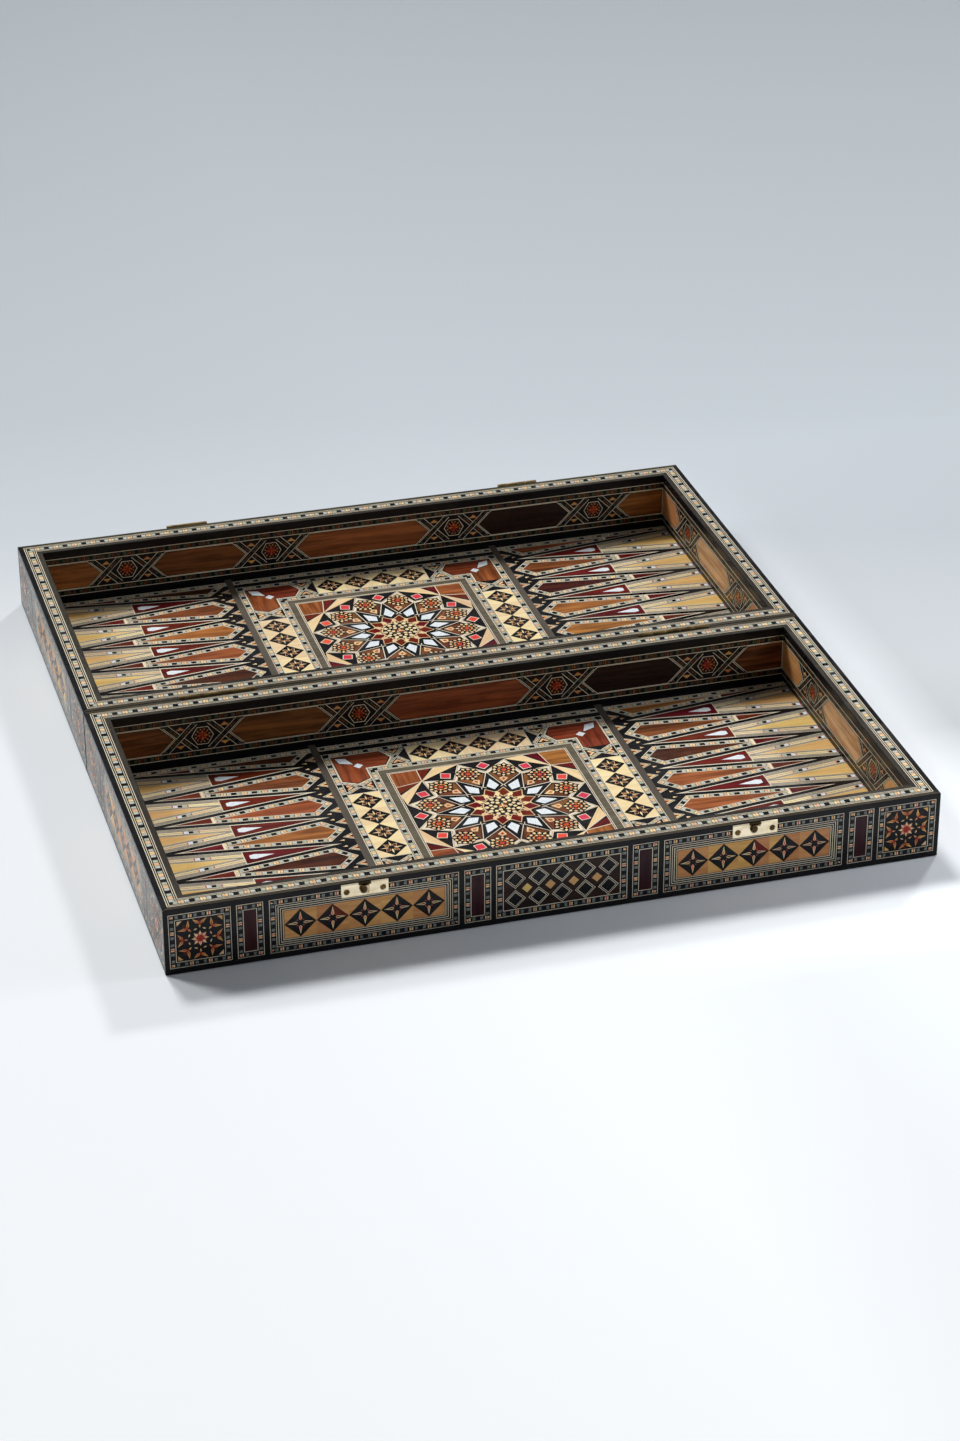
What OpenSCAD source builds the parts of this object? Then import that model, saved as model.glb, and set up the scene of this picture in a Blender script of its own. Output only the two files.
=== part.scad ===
// Inlaid games compendium box: two equal trays hinged along one long side.
// Lying open, rims up, it is a backgammon board; the outsides of the two trays make a chess board.
// Millimetres. X runs along the seam, Y from the front tray to the back tray, Z up.
// The origin is on the table, at the middle of the seam.

/* [Trays] */
// Length of each tray, along the seam
tray_l = 500; // [460:1:560]
// Depth of each tray, across the seam
tray_d = 258; // [244:1:290]
// Height of each tray, from the table to the rim
tray_h = 45.5; // [40:0.5:60]
// Space between the trays, side by side when open and rim to rim when shut
seam_gap = 0.4; // [0.3:0.1:0.8]

/* [Boards and veneers] */
// Thickness of the solid wall boards
board_t = 13.5; // [11:0.5:17]
// Thickness of the inlaid sheets on the outside of the walls
face_t = 1; // [0.8:0.1:1.5]
// Thickness of the inlaid sheets on the inside of the walls
lining_t = 1; // [0.6:0.1:1.5]
// Thickness of the mitred capping on the rim
rim_t = 1; // [0.8:0.1:2]
// Thickness of the plywood base
base_t = 3.2; // [2.5:0.1:4.5]
// Thickness of the inlaid floor
floor_t = 1; // [0.8:0.1:1.5]
// Thickness of the chess squares under the base
square_t = 1; // [0.8:0.1:1.5]
// How far the chess squares lie above the lower edge of the walls
square_recess = 0.3; // [0.2:0.1:0.8]
// Width of the rebate that holds the base in the wall boards
rebate_w = 5; // [3:0.5:8]

/* [Floor pattern] */
// Width of the square middle panel, between the two divider strips
centre_w = 196; // [180:1:206]
// Width of the two ebony divider strips
divider_w = 5; // [3:0.5:8]
// Number of points on each side of a tray
point_count = 6; // [4:1:6]
// Width of a point at its foot, with its share of the dark line beside it
point_pitch = 34.4; // [20:0.1:36]
// Dark line between neighbouring points at the foot
point_line = 1.2; // [0.6:0.1:3]
// Space from the tip of a point to the divider strip
point_tip_gap = 1.5; // [0.5:0.5:6]
// Rays of the star in the middle panel
star_rays = 12; // [8:1:16]
// Radius of the star over its tips
star_tip_r = 60; // [50:0.5:66]
// Radius of the star at the notches between its tips
star_notch_r = 46.4; // [34:0.2:48]
// How far each hand-set star is turned from square
star_turn = 2; // [0:0.5:6]
// Least width of the border round the chess squares
border_w = 11.5; // [6:0.5:20]

/* [Hinges] */
// Distance from the end of a tray to the middle of its hinge
hinge_end = 90; // [60:1:140]
// Length of a hinge
hinge_l = 50; // [44:1:70]
// Thickness of a hinge leaf, let into the face sheet
leaf_t = 1; // [0.8:0.1:1]
// Height of a hinge leaf below the knuckles
leaf_h = 12.5; // [9:0.5:20]
// Outer radius of the hinge knuckles
knuckle_r = 1.7; // [1.6:0.1:2.4]
// Number of knuckles on a hinge, shared by its two leaves
knuckle_count = 5; // [3:2:9]
// Radius of the hinge pin
pin_r = 0.85; // [0.7:0.05:1]
// Radius of the heads that keep a pin in its knuckles
pin_head_r = 1.4; // [1.2:0.1:1.6]
// Length of a pin head
pin_head_l = 0.8; // [0.5:0.1:1.5]

/* [Catches] */
// Distance from the end of a tray to the middle of its catch
catch_end = 124.5; // [60:0.5:170]
// Length of the catch plates and hasp plates
catch_l = 29.6; // [28:0.2:40]
// Height of the catch plates and hasp plates
catch_h = 9; // [8:0.5:14]
// Thickness of the plates and tongues
sheet_t = 0.8; // [0.6:0.1:1]
// Distance of the plates below the rim
catch_drop = 0.7; // [0.5:0.1:2]
// Height of the keeper that the tongue drops over
keeper_h = 5.2; // [4:0.1:6]
// Distance from the rim down to the top of the keeper
keeper_drop = 2.1; // [2:0.1:3]
// Distance of the hasp's pivot from the wall
hasp_out = 1.75; // [1.7:0.05:2.2]
// Distance of the hasp's pivot below the rim
hasp_down = 0.4; // [0.2:0.1:0.8]
// Outer radius of the hasp knuckles
hasp_knuckle_r = 1.35; // [1.1:0.05:1.4]
// Radius of the hasp pin
hasp_pin_r = 0.6; // [0.5:0.05:0.7]
// Width of the hasp tongue
tongue_w = 14; // [12.5:0.5:16]
// Metal left round the end of the slot in the tongue
tongue_end = 2.3; // [1.5:0.1:4]
// Radius of the tongue's lower corners
tongue_corner_r = 2.5; // [1:0.1:3]

/* [Screws] */
// Radius of a screw shank
screw_r = 1.1; // [0.8:0.1:1.3]
// Radius of a screw head
screw_head_r = 2.1; // [1.8:0.1:2.3]
// Length of a screw under the plate that it holds
screw_l = 8; // [5:0.5:11]
// Distance of the outer screws of a hinge from its middle
hinge_screw_x = 18; // [14:0.5:20]
// Distance of the screws of a catch or hasp from its middle
catch_screw_x = 11.4; // [10:0.1:12]
// Distance of those screws below the rim
catch_screw_drop = 6; // [5:0.1:7]

/* [Hidden] */
$fn = 48;

// Clearances
cut = 1;                 // how far a cutting shape runs past what it cuts
turn_gap = 0.3;          // between pieces that turn past each other
pin_fit = 0.05;          // round a pin in the knuckles that turn on it
pin_hold = 0.03;         // round a pin in the knuckles that hold it
screw_fit = 0.03;        // round a screw
leaf_fit = 0.1;          // round a hinge leaf in its housing
tile_gap = 0.1;          // glue line round inlaid tiles
mitre_gap = 0.05;        // glue line in the mitres
base_fit = 0.2;          // round the base in its rebate

// The front tray, from its table face up and from the seam outwards
wall_t = face_t + board_t + lining_t;
half_l = tray_l / 2;
seam_y = -seam_gap / 2;
outer_y = seam_y - tray_d;
mid_y = (seam_y + outer_y) / 2;
board_h = tray_h - rim_t;
base_z = square_recess + square_t;
base_top = base_z + base_t;
inner_x = half_l - wall_t;
inner_d = tray_d - 2 * wall_t;
rebate_x = half_l - face_t - board_t + rebate_w;
rebate_d = tray_d - 2 * (face_t + board_t - rebate_w);

// Floor pattern
field_x = centre_w / 2 + divider_w;
field_l = inner_x - field_x;
point_l = field_l - point_tip_gap;
square_w = min((2 * rebate_x - 2 * border_w) / 8, (rebate_d - 2 * border_w) / 4);

// Hinge
hinge_x = half_l - hinge_end;
pivot_z = tray_h + seam_gap / 2;
leaf_top = pivot_z - knuckle_r - turn_gap;
leaf_bottom = leaf_top - leaf_h;
knuckle_pitch = (hinge_l + turn_gap) / knuckle_count;
knuckle_l = knuckle_pitch - turn_gap;
barrel_room_r = knuckle_r + turn_gap + 0.1;
barrel_room_l = hinge_l + 2 * (pin_head_l + turn_gap);

// Catches and hasps
catch_x = half_l - catch_end;
plate_top = tray_h - catch_drop;
keeper_top = tray_h - keeper_drop;
keeper_out = hasp_out + hasp_knuckle_r;
keeper_w = 2 * keeper_out;
hasp_y = -outer_y + hasp_out;
hasp_z = tray_h - hasp_down;
// where the pivot comes when the box is shut, above the pivot line of the catch side
shut_z = 2 * pivot_z - hasp_z;
slot_start = shut_z - keeper_top - turn_gap * 2;
keeper_far = sqrt(pow(shut_z - keeper_top + keeper_h, 2) + pow(keeper_out - hasp_out, 2));
slot_end = keeper_far + turn_gap + 0.15;
slot_w = keeper_w + 2 * turn_gap + 0.2;
tongue_l = slot_end + tongue_end;
end_knuckle_l = (catch_l - tongue_w) / 2 - turn_gap;

// ---- placing ----

module back() mirror([0, 1, 0]) children();
module both_sides(x) for (side = [-1, 1]) translate([side * x, 0, 0]) children();
// lays a cylinder along X, centred
module along_x(r, l) rotate([0, 90, 0]) cylinder(r = r, h = l, center = true);
// a round rod from the origin towards -Y
module rod_out(r, l) rotate([90, 0, 0]) cylinder(r = r, h = l);

// ---- walls of a tray, seen as the front tray ----

// room for both hinge barrels, cut from whatever stands by the seam
module barrel_room() {
  both_sides(hinge_x)
    translate([0, 0, pivot_z])
      along_x(barrel_room_r, barrel_room_l);
}

// housings for the two leaves by the seam, open at the rim
module leaf_housings() {
  both_sides(hinge_x)
    translate([-hinge_l / 2 - leaf_fit, seam_y - leaf_t, leaf_bottom - leaf_fit])
      cube([hinge_l + 2 * leaf_fit, leaf_t + cut, tray_h]);
}

// holes for the screws of the two hinges
module hinge_pilots() {
  both_sides(hinge_x)
    for (x = [-1, 0, 1])
      translate([x * hinge_screw_x, seam_y, leaf_bottom + leaf_h / 2])
        rod_out(screw_r + screw_fit, leaf_t + screw_l + screw_fit);
}

// holes for the screws of the two catches or hasps
module catch_pilots() {
  both_sides(catch_x)
    for (side = [-1, 1])
      translate([side * catch_screw_x, outer_y + screw_l + screw_fit, tray_h - catch_screw_drop])
        rod_out(screw_r + screw_fit, screw_l + screw_fit + cut);
}

// the rebate that all four boards share
module base_rebate() {
  translate([-rebate_x, mid_y - rebate_d / 2, -cut])
    cube([2 * rebate_x, rebate_d, base_top + cut]);
}

// a mitred strip: half-length and depth at its outer edge, width, in plan, along the seam side
module mitred_plan(half_len, width) {
  polygon([[-half_len, 0], [half_len, 0], [half_len - width, -width], [-half_len + width, -width]]);
}

// the two long mitred shapes and the two short ones, measured from the outside of a ring
module hinge_side(inset, width) {
  translate([0, seam_y - inset]) mitred_plan(half_l - inset, width);
}
module outer_side(inset, width) {
  translate([0, 2 * mid_y]) mirror([0, 1]) hinge_side(inset, width);
}
module right_side(inset, width) {
  translate([half_l - inset, mid_y])
    rotate(-90)
      mitred_plan(tray_d / 2 - inset - mitre_gap, width);
}
module left_side(inset, width) {
  mirror([1, 0]) right_side(inset, width);
}

module outer_board() {
  color("#4a2f1e")
    difference() {
      linear_extrude(board_h) outer_side(face_t, board_t);
      base_rebate();
      catch_pilots();
    }
}

module hinge_board() {
  color("#4a2f1e")
    difference() {
      linear_extrude(board_h) hinge_side(face_t, board_t);
      base_rebate();
      barrel_room();
      leaf_housings();
      hinge_pilots();
    }
}

module right_board() {
  color("#4a2f1e")
    difference() {
      linear_extrude(board_h) right_side(face_t, board_t);
      base_rebate();
    }
}

module left_board() {
  mirror([1, 0, 0]) right_board();
}

module outer_face() {
  color("#241c1a")
    difference() {
      linear_extrude(board_h) outer_side(0, face_t);
      catch_pilots();
    }
}

module hinge_face() {
  color("#241c1a")
    difference() {
      linear_extrude(board_h) hinge_side(0, face_t);
      barrel_room();
      leaf_housings();
    }
}

module right_face() {
  color("#241c1a") linear_extrude(board_h) right_side(0, face_t);
}

module left_face() {
  mirror([1, 0, 0]) right_face();
}

module long_linings() {
  color("#7a4526")
    translate([0, 0, base_top])
      linear_extrude(board_h - base_top) {
        hinge_side(face_t + board_t, lining_t);
        outer_side(face_t + board_t, lining_t);
      }
}

module end_linings() {
  color("#a5723f")
    translate([0, 0, base_top])
      linear_extrude(board_h - base_top) {
        left_side(face_t + board_t, lining_t);
        right_side(face_t + board_t, lining_t);
      }
}

module rim() {
  color("#d9cfb4")
    difference() {
      translate([0, 0, board_h])
        linear_extrude(rim_t) {
          hinge_side(0, wall_t);
          outer_side(0, wall_t);
          left_side(0, wall_t);
          right_side(0, wall_t);
        }
      barrel_room();
      leaf_housings();
    }
}

// ---- base, floor and chess squares ----

module base_board() {
  color("#b98d5a")
    translate([-rebate_x + base_fit, mid_y - rebate_d / 2 + base_fit, base_z])
      cube([2 * (rebate_x - base_fit), rebate_d - 2 * base_fit, base_t]);
}

module chess_plan(grow) {
  square([8 * square_w + 2 * grow, 4 * square_w + 2 * grow], center = true);
}

module chess_border() {
  color("#2a201d")
    translate([0, mid_y, square_recess])
      linear_extrude(square_t)
        difference() {
          square([2 * (rebate_x - base_fit), rebate_d - 2 * base_fit], center = true);
          chess_plan(tile_gap);
        }
}

// every other square of the half board, starting with the given one
module chess_squares(first) {
  translate([-4 * square_w, mid_y - 2 * square_w, square_recess])
    for (i = [0:7])
      for (j = [0:3])
        if ((i + j) % 2 == first)
          translate([i * square_w + tile_gap / 2, j * square_w + tile_gap / 2, 0])
            cube([square_w - tile_gap, square_w - tile_gap, square_t]);
}

// the two trays start with unlike squares, so that the colours alternate across the seam
module light_squares(first) {
  color("#d8b27a") chess_squares(first);
}

module dark_squares(first) {
  color("#4b2416") chess_squares(first);
}

// one point lying along X, its foot at x = 0 and its tip at x = point_l
module point_plan(grow) {
  foot = point_pitch / 2 - point_line / 2 + grow;
  polygon([[0, -foot], [point_l, -grow], [point_l, grow], [0, foot]]);
}

// the points of the right side of the tray, feet at the wall
module point_row(grow) {
  for (i = [0 : point_count - 1])
    translate([inner_x, mid_y + (i - (point_count - 1) / 2) * point_pitch])
      mirror([1, 0])
        point_plan(grow);
}

module right_floor() {
  color("#5b3320")
    translate([0, 0, base_top])
      linear_extrude(floor_t)
        difference() {
          translate([field_x, mid_y - inner_d / 2]) square([field_l, inner_d]);
          point_row(tile_gap);
        }
}

module left_floor() {
  mirror([1, 0, 0]) right_floor();
}

module points() {
  color("#d9a766")
    for (side = [0, 1])
      mirror([side, 0, 0])
        translate([0, 0, base_top])
          linear_extrude(floor_t)
            intersection() {
              point_row(0);
              translate([0, mid_y - inner_d / 2]) square([inner_x - tile_gap, inner_d]);
            }
}

module star_plan(grow) {
  step = 180 / star_rays;
  translate([0, mid_y])
    rotate(-star_turn)
      polygon([
        for (i = [0 : 2 * star_rays - 1])
          let (r = (i % 2 == 0 ? star_notch_r : star_tip_r) + grow)
            [r * cos(i * step), r * sin(i * step)]
      ]);
}

module centre_floor() {
  color("#c99a5f")
    translate([0, 0, base_top])
      linear_extrude(floor_t)
        difference() {
          translate([-centre_w / 2, mid_y - inner_d / 2]) square([centre_w, inner_d]);
          star_plan(tile_gap);
        }
}

module star() {
  color("#8c2a22")
    translate([0, 0, base_top])
      linear_extrude(floor_t)
        star_plan(0);
}

module divider_strips() {
  color("#1d1a1c")
    for (side = [0, 1])
      mirror([side, 0, 0])
        translate([centre_w / 2, mid_y - inner_d / 2, base_top])
          cube([divider_w, inner_d, floor_t]);
}

// ---- screws ----

// a countersunk screw whose head lies flush at the origin; it points towards +Y
module screw(length, plate_t) {
  rotate([-90, 0, 0]) {
    cylinder(r1 = screw_head_r, r2 = screw_r, h = plate_t);
    cylinder(r = screw_r, h = plate_t + length);
  }
}

// the hole that the screw leaves in its plate
module screw_hole(plate_t) {
  rotate([-90, 0, 0]) {
    cylinder(r1 = screw_head_r + screw_fit, r2 = screw_r + screw_fit, h = plate_t);
    translate([0, 0, -cut]) cylinder(r = screw_r + screw_fit, h = plate_t + 2 * cut);
    translate([0, 0, -cut]) cylinder(r = screw_head_r + screw_fit, h = cut);
  }
}

// ---- hinges, modelled at the middle of the seam ----

function knuckle_x(i) = -hinge_l / 2 + i * knuckle_pitch + knuckle_l / 2;

// the leaf on the front tray has the even knuckles and keeps the pin; the back leaf the odd ones
module hinge_leaf(first, bore_r) {
  difference() {
    union() {
      translate([-hinge_l / 2, seam_y - leaf_t, leaf_bottom])
        cube([hinge_l, leaf_t, leaf_h]);
      for (i = [first : 2 : knuckle_count - 1])
        translate([knuckle_x(i), 0, pivot_z]) {
          along_x(knuckle_r, knuckle_l);
          translate([-knuckle_l / 2, seam_y - leaf_t, leaf_top - pivot_z - cut])
            cube([knuckle_l, leaf_t, pivot_z - leaf_top + cut]);
        }
    }
    translate([0, 0, pivot_z]) along_x(bore_r, hinge_l + 2 * cut);
    for (x = [-1, 0, 1])
      translate([x * hinge_screw_x, seam_y, leaf_bottom + leaf_h / 2])
        mirror([0, 1, 0])
          screw_hole(leaf_t);
  }
}

module front_leaf(side) {
  color("#c8a24a")
    translate([side * hinge_x, 0, 0])
      hinge_leaf(0, pin_r + pin_hold);
}

module back_leaf(side) {
  color("#c8a24a")
    translate([side * hinge_x, 0, 0])
      back() hinge_leaf(1, pin_r + pin_fit);
}

module hinge_pins() {
  color("#b58d3c")
    both_sides(hinge_x)
      translate([0, 0, pivot_z]) {
        along_x(pin_r, hinge_l + 2 * pin_head_l);
        both_sides(hinge_l / 2 + pin_head_l / 2 + pin_hold)
          along_x(pin_head_r, pin_head_l);
      }
}

module hinge_screws() {
  color("#b58d3c")
    both_sides(hinge_x)
      for (x = [-1, 0, 1])
        translate([x * hinge_screw_x, seam_y, leaf_bottom + leaf_h / 2])
          mirror([0, 1, 0])
            screw(screw_l, leaf_t);
}

// ---- catches on the front tray, hasps on the back tray ----

// a plate on the outer long side
module side_plate() {
  difference() {
    translate([-catch_l / 2, outer_y - sheet_t, plate_top - catch_h])
      cube([catch_l, sheet_t, catch_h]);
    // the upper edge leans back to the wall
    translate([0, outer_y - sheet_t, plate_top])
      rotate([45, 0, 0])
        cube([catch_l + cut, sheet_t, sheet_t], center = true);
  }
}

// the two screw holes of a plate
module plate_holes() {
  for (side = [-1, 1])
    translate([side * catch_screw_x, outer_y - sheet_t, tray_h - catch_screw_drop])
      screw_hole(sheet_t);
}

// the pressed-out half ring of the left catch
module round_keeper() {
  translate([0, outer_y, keeper_top - keeper_h])
    difference() {
      cylinder(r = keeper_out, h = keeper_h);
      translate([0, 0, -cut]) cylinder(r = keeper_out - sheet_t, h = keeper_h + 2 * cut);
      translate([-keeper_w, 0, -cut]) cube([2 * keeper_w, keeper_w, keeper_h + 2 * cut]);
    }
}

// the pressed-out hook of the right catch, open on its left
module hook_keeper() {
  hook_w = keeper_w - sheet_t;
  translate([keeper_out - hook_w, outer_y - keeper_out + sheet_t, keeper_top - keeper_h])
    cube([hook_w, sheet_t, keeper_h]);
  translate([keeper_out - sheet_t, outer_y - keeper_out + sheet_t, keeper_top - keeper_h])
    cube([sheet_t, keeper_out - sheet_t, keeper_h]);
}

// the window that a keeper leaves in its plate
module keeper_window() {
  translate([-keeper_out + sheet_t, outer_y - sheet_t - cut, keeper_top - keeper_h])
    cube([keeper_w - 2 * sheet_t, sheet_t + 2 * cut, keeper_h]);
}

module catch_plate_left() {
  color("#e3cf96")
    translate([-catch_x, 0, 0]) {
      difference() {
        side_plate();
        keeper_window();
        plate_holes();
      }
      round_keeper();
    }
}

module catch_plate_right() {
  color("#e3cf96")
    translate([catch_x, 0, 0]) {
      difference() {
        side_plate();
        keeper_window();
        plate_holes();
      }
      hook_keeper();
    }
}

module catch_screws() {
  color("#a5854a")
    both_sides(catch_x)
      for (side = [-1, 1])
        translate([side * catch_screw_x, outer_y - sheet_t, tray_h - catch_screw_drop])
          screw(screw_l, sheet_t);
}

// the fixed half of a hasp, with a knuckle at each end
module hasp_plate(side) {
  knuckle_at = catch_l / 2 - end_knuckle_l / 2;
  room = hasp_knuckle_r + turn_gap;
  color("#e3cf96")
    translate([side * catch_x, 0, 0])
      difference() {
        union() {
          back() side_plate();
          both_sides(knuckle_at) {
            translate([0, hasp_y, hasp_z]) along_x(hasp_knuckle_r, end_knuckle_l);
            translate([-end_knuckle_l / 2, -outer_y, plate_top - sheet_t])
              cube([end_knuckle_l, sheet_t, hasp_z - plate_top + sheet_t]);
          }
        }
        back() plate_holes();
        translate([0, hasp_y, hasp_z]) {
          along_x(hasp_pin_r + pin_hold, catch_l + 2 * cut);
          along_x(room, catch_l - 2 * end_knuckle_l);
        }
      }
}

// the swinging half of a hasp, hanging from its knuckle
module hasp_tongue(side) {
  corner_z = hasp_z - tongue_l + tongue_corner_r;
  color("#e3cf96")
    translate([side * catch_x, hasp_y, 0])
      difference() {
        union() {
          translate([0, 0, hasp_z]) along_x(hasp_knuckle_r, tongue_w);
          translate([0, sheet_t / 2, 0])
            rotate([90, 0, 0])
              linear_extrude(sheet_t) {
                translate([-tongue_w / 2, corner_z]) square([tongue_w, hasp_z - corner_z]);
                translate([-tongue_w / 2 + tongue_corner_r, corner_z - tongue_corner_r])
                  square([tongue_w - 2 * tongue_corner_r, tongue_corner_r]);
                for (end = [-1, 1])
                  translate([end * (tongue_w / 2 - tongue_corner_r), corner_z])
                    circle(r = tongue_corner_r);
              }
        }
        translate([0, 0, hasp_z]) along_x(hasp_pin_r + pin_fit, tongue_w + 2 * cut);
        translate([-slot_w / 2, -sheet_t / 2 - cut, hasp_z - slot_end])
          cube([slot_w, sheet_t + 2 * cut, slot_end - slot_start]);
      }
}

module hasp_pins() {
  color("#b58d3c")
    both_sides(catch_x)
      translate([0, hasp_y, hasp_z])
        along_x(hasp_pin_r, catch_l);
}

module hasp_screws() {
  back() catch_screws();
}

outer_board();  // front_outer_board
hinge_board();  // front_hinge_board
left_board();  // front_left_board
right_board();  // front_right_board
base_board();  // front_base_board
chess_border();  // front_chess_border
light_squares(0);  // front_light_squares
dark_squares(1);  // front_dark_squares
outer_face();  // front_outer_face
hinge_face();  // front_hinge_face
left_face();  // front_left_face
right_face();  // front_right_face
long_linings();  // front_long_linings
end_linings();  // front_end_linings
rim();  // front_rim
left_floor();  // front_left_floor
right_floor();  // front_right_floor
centre_floor();  // front_centre_floor
divider_strips();  // front_divider_strips
points();  // front_points
star();  // front_star
back() outer_board();  // back_outer_board
back() hinge_board();  // back_hinge_board
back() left_board();  // back_left_board
back() right_board();  // back_right_board
back() base_board();  // back_base_board
back() chess_border();  // back_chess_border
back() light_squares(1);  // back_light_squares
back() dark_squares(0);  // back_dark_squares
back() outer_face();  // back_outer_face
back() hinge_face();  // back_hinge_face
back() left_face();  // back_left_face
back() right_face();  // back_right_face
back() long_linings();  // back_long_linings
back() end_linings();  // back_end_linings
back() rim();  // back_rim
back() left_floor();  // back_left_floor
back() right_floor();  // back_right_floor
back() centre_floor();  // back_centre_floor
back() divider_strips();  // back_divider_strips
back() points();  // back_points
back() star();  // back_star
front_leaf(-1);  // hinge_left_front_leaf
front_leaf(1);  // hinge_right_front_leaf
back_leaf(-1);  // hinge_left_back_leaf
back_leaf(1);  // hinge_right_back_leaf
hinge_pins();
hinge_screws();  // front_hinge_screws
back() hinge_screws();  // back_hinge_screws
catch_plate_left();
catch_plate_right();
catch_screws();
hasp_plate(-1);  // hasp_plate_left
hasp_plate(1);  // hasp_plate_right
hasp_tongue(-1);  // hasp_tongue_left
hasp_tongue(1);  // hasp_tongue_right
hasp_pins();
hasp_screws();
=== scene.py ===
"""The looks of an inlaid games box that lies open: every visible sheet of wood is covered by
marquetry tiles of bone, pearl and coloured woods, and the hardware is pressed brass."""
import math
import random

import bmesh
import bpy
from mathutils import Matrix, Vector


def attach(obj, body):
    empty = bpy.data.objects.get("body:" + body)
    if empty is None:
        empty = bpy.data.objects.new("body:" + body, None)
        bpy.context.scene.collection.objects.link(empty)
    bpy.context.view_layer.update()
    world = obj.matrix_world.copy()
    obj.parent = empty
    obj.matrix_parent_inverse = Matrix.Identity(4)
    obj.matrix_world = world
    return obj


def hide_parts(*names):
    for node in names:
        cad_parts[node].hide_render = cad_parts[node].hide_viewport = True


MM = 0.001          # patterns are drawn in millimetres
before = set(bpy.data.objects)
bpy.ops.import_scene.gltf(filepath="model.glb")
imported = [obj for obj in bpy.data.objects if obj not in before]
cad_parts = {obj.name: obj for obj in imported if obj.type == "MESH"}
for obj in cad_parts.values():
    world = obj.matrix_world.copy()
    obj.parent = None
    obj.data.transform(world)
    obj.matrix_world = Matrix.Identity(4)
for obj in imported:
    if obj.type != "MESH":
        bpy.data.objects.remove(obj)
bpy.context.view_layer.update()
chance = random.Random(7)


# -------- camera

CAMERA_PLACE = (-0.5633, -2.0387, 1.1636)
CAMERA_AIM = (0.241665, 0.842222, -0.481934)
CAMERA_ROLL = 0.19          # degrees, clockwise
CAMERA_LENS = 88.51         # on a sensor of 36 mm along the picture's long side


def make_camera():
    data = bpy.data.cameras.new("camera")
    data.sensor_width = 36
    data.lens = CAMERA_LENS
    data.clip_end = 20
    camera = bpy.data.objects.new("camera", data)
    aim = Vector(CAMERA_AIM).to_track_quat("-Z", "Y").to_matrix()
    roll = Matrix.Rotation(-math.radians(CAMERA_ROLL), 3, "Z")
    camera.matrix_world = Matrix.Translation(CAMERA_PLACE) @ (aim @ roll).to_4x4()
    bpy.context.scene.collection.objects.link(camera)
    bpy.context.scene.camera = camera


make_camera()


# -------- plane geometry, in millimetres

SLIVER = 1e-3               # square millimetres
TOUCH = 1e-7                # a point this near a line lies on it
LOG = 900                   # the size of the log that veneers are cut from


def area(outline):
    return sum(outline[i - 1][0] * p[1] - p[0] * outline[i - 1][1] for i, p in enumerate(outline)) / 2


def anticlockwise(outline):
    return list(outline) if area(outline) > 0 else list(outline)[::-1]


def split(outline, a, b):
    """The parts of a convex outline to the left and to the right of the line from a to b."""
    dx, dy = b[0] - a[0], b[1] - a[1]
    length = math.hypot(dx, dy)
    sides = [(dx * (p[1] - a[1]) - dy * (p[0] - a[0])) / length for p in outline]
    left, right = [], []
    for i, p in enumerate(outline):
        q, before, here = outline[i - 1], sides[i - 1], sides[i]
        if (before > TOUCH and here < -TOUCH) or (before < -TOUCH and here > TOUCH):
            k = before / (before - here)
            crossing = (q[0] + k * (p[0] - q[0]), q[1] + k * (p[1] - q[1]))
            left.append(crossing)
            right.append(crossing)
        if here > -TOUCH:
            left.append(p)
        if here < TOUCH:
            right.append(p)
    return left, right


def within(outline, cutter):
    """The part of a convex outline inside a convex, anticlockwise cutter."""
    for i, b in enumerate(cutter):
        if len(outline) < 3:
            return []
        outline = split(outline, cutter[i - 1], b)[0]
    return outline if len(outline) > 2 and area(outline) > SLIVER else []


def without(outline, cutter):
    """The convex parts of a convex outline that are outside a cutter, or None if they don't meet."""
    rest, inside = [], outline
    for i, b in enumerate(cutter):
        inside, outside = split(inside, cutter[i - 1], b)
        if len(outside) > 2 and area(outside) > SLIVER:
            rest.append(outside)
        if len(inside) < 3 or area(inside) < SLIVER:
            return None
    return rest


def meet(a, b, c, d):
    """Where the line through a and b crosses the line through c and d."""
    ux, uy, vx, vy = b[0] - a[0], b[1] - a[1], d[0] - c[0], d[1] - c[1]
    k = ((c[0] - a[0]) * vy - (c[1] - a[1]) * vx) / (ux * vy - uy * vx)
    return (a[0] + k * ux, a[1] + k * uy)


def shifted(a, b, by):
    """The line from a to b, moved to its left."""
    length = math.dist(a, b)
    x, y = -(b[1] - a[1]) / length * by, (b[0] - a[0]) / length * by
    return (a[0] + x, a[1] + y), (b[0] + x, b[1] + y)


def inset(outline, by):
    """A convex outline drawn in by one distance, or by one for each side, starting at its first point."""
    n = len(outline)
    by = [by] * n if isinstance(by, (int, float)) else by
    lines = [shifted(p, outline[(i + 1) % n], by[i]) for i, p in enumerate(outline)]
    return [meet(*lines[i - 1], *lines[i]) for i in range(n)]


def beside(a, b, *places):
    """Points given by their distances along the line from a to b and to its left."""
    length = math.dist(a, b)
    ux, uy = (b[0] - a[0]) / length, (b[1] - a[1]) / length
    return [(a[0] + along * ux - off * uy, a[1] + along * uy + off * ux) for along, off in places]


def turned(points, degrees, shift=(0, 0)):
    c, s = math.cos(math.radians(degrees)), math.sin(math.radians(degrees))
    return [(c * x - s * y + shift[0], s * x + c * y + shift[1]) for x, y in points]


def polar(r, degrees, centre=(0, 0)):
    a = math.radians(degrees)
    return (centre[0] + r * math.cos(a), centre[1] + r * math.sin(a))


def box_of(outline):
    xs, ys = [p[0] for p in outline], [p[1] for p in outline]
    return min(xs), min(ys), max(xs), max(ys)


def fresh_veneer(grain):
    return (grain, chance.uniform(0, LOG), chance.uniform(0, LOG), chance.random())


def rectangle(x0, y0, x1, y1):
    return [(x0, y0), (x1, y0), (x1, y1), (x0, y1)]


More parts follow.
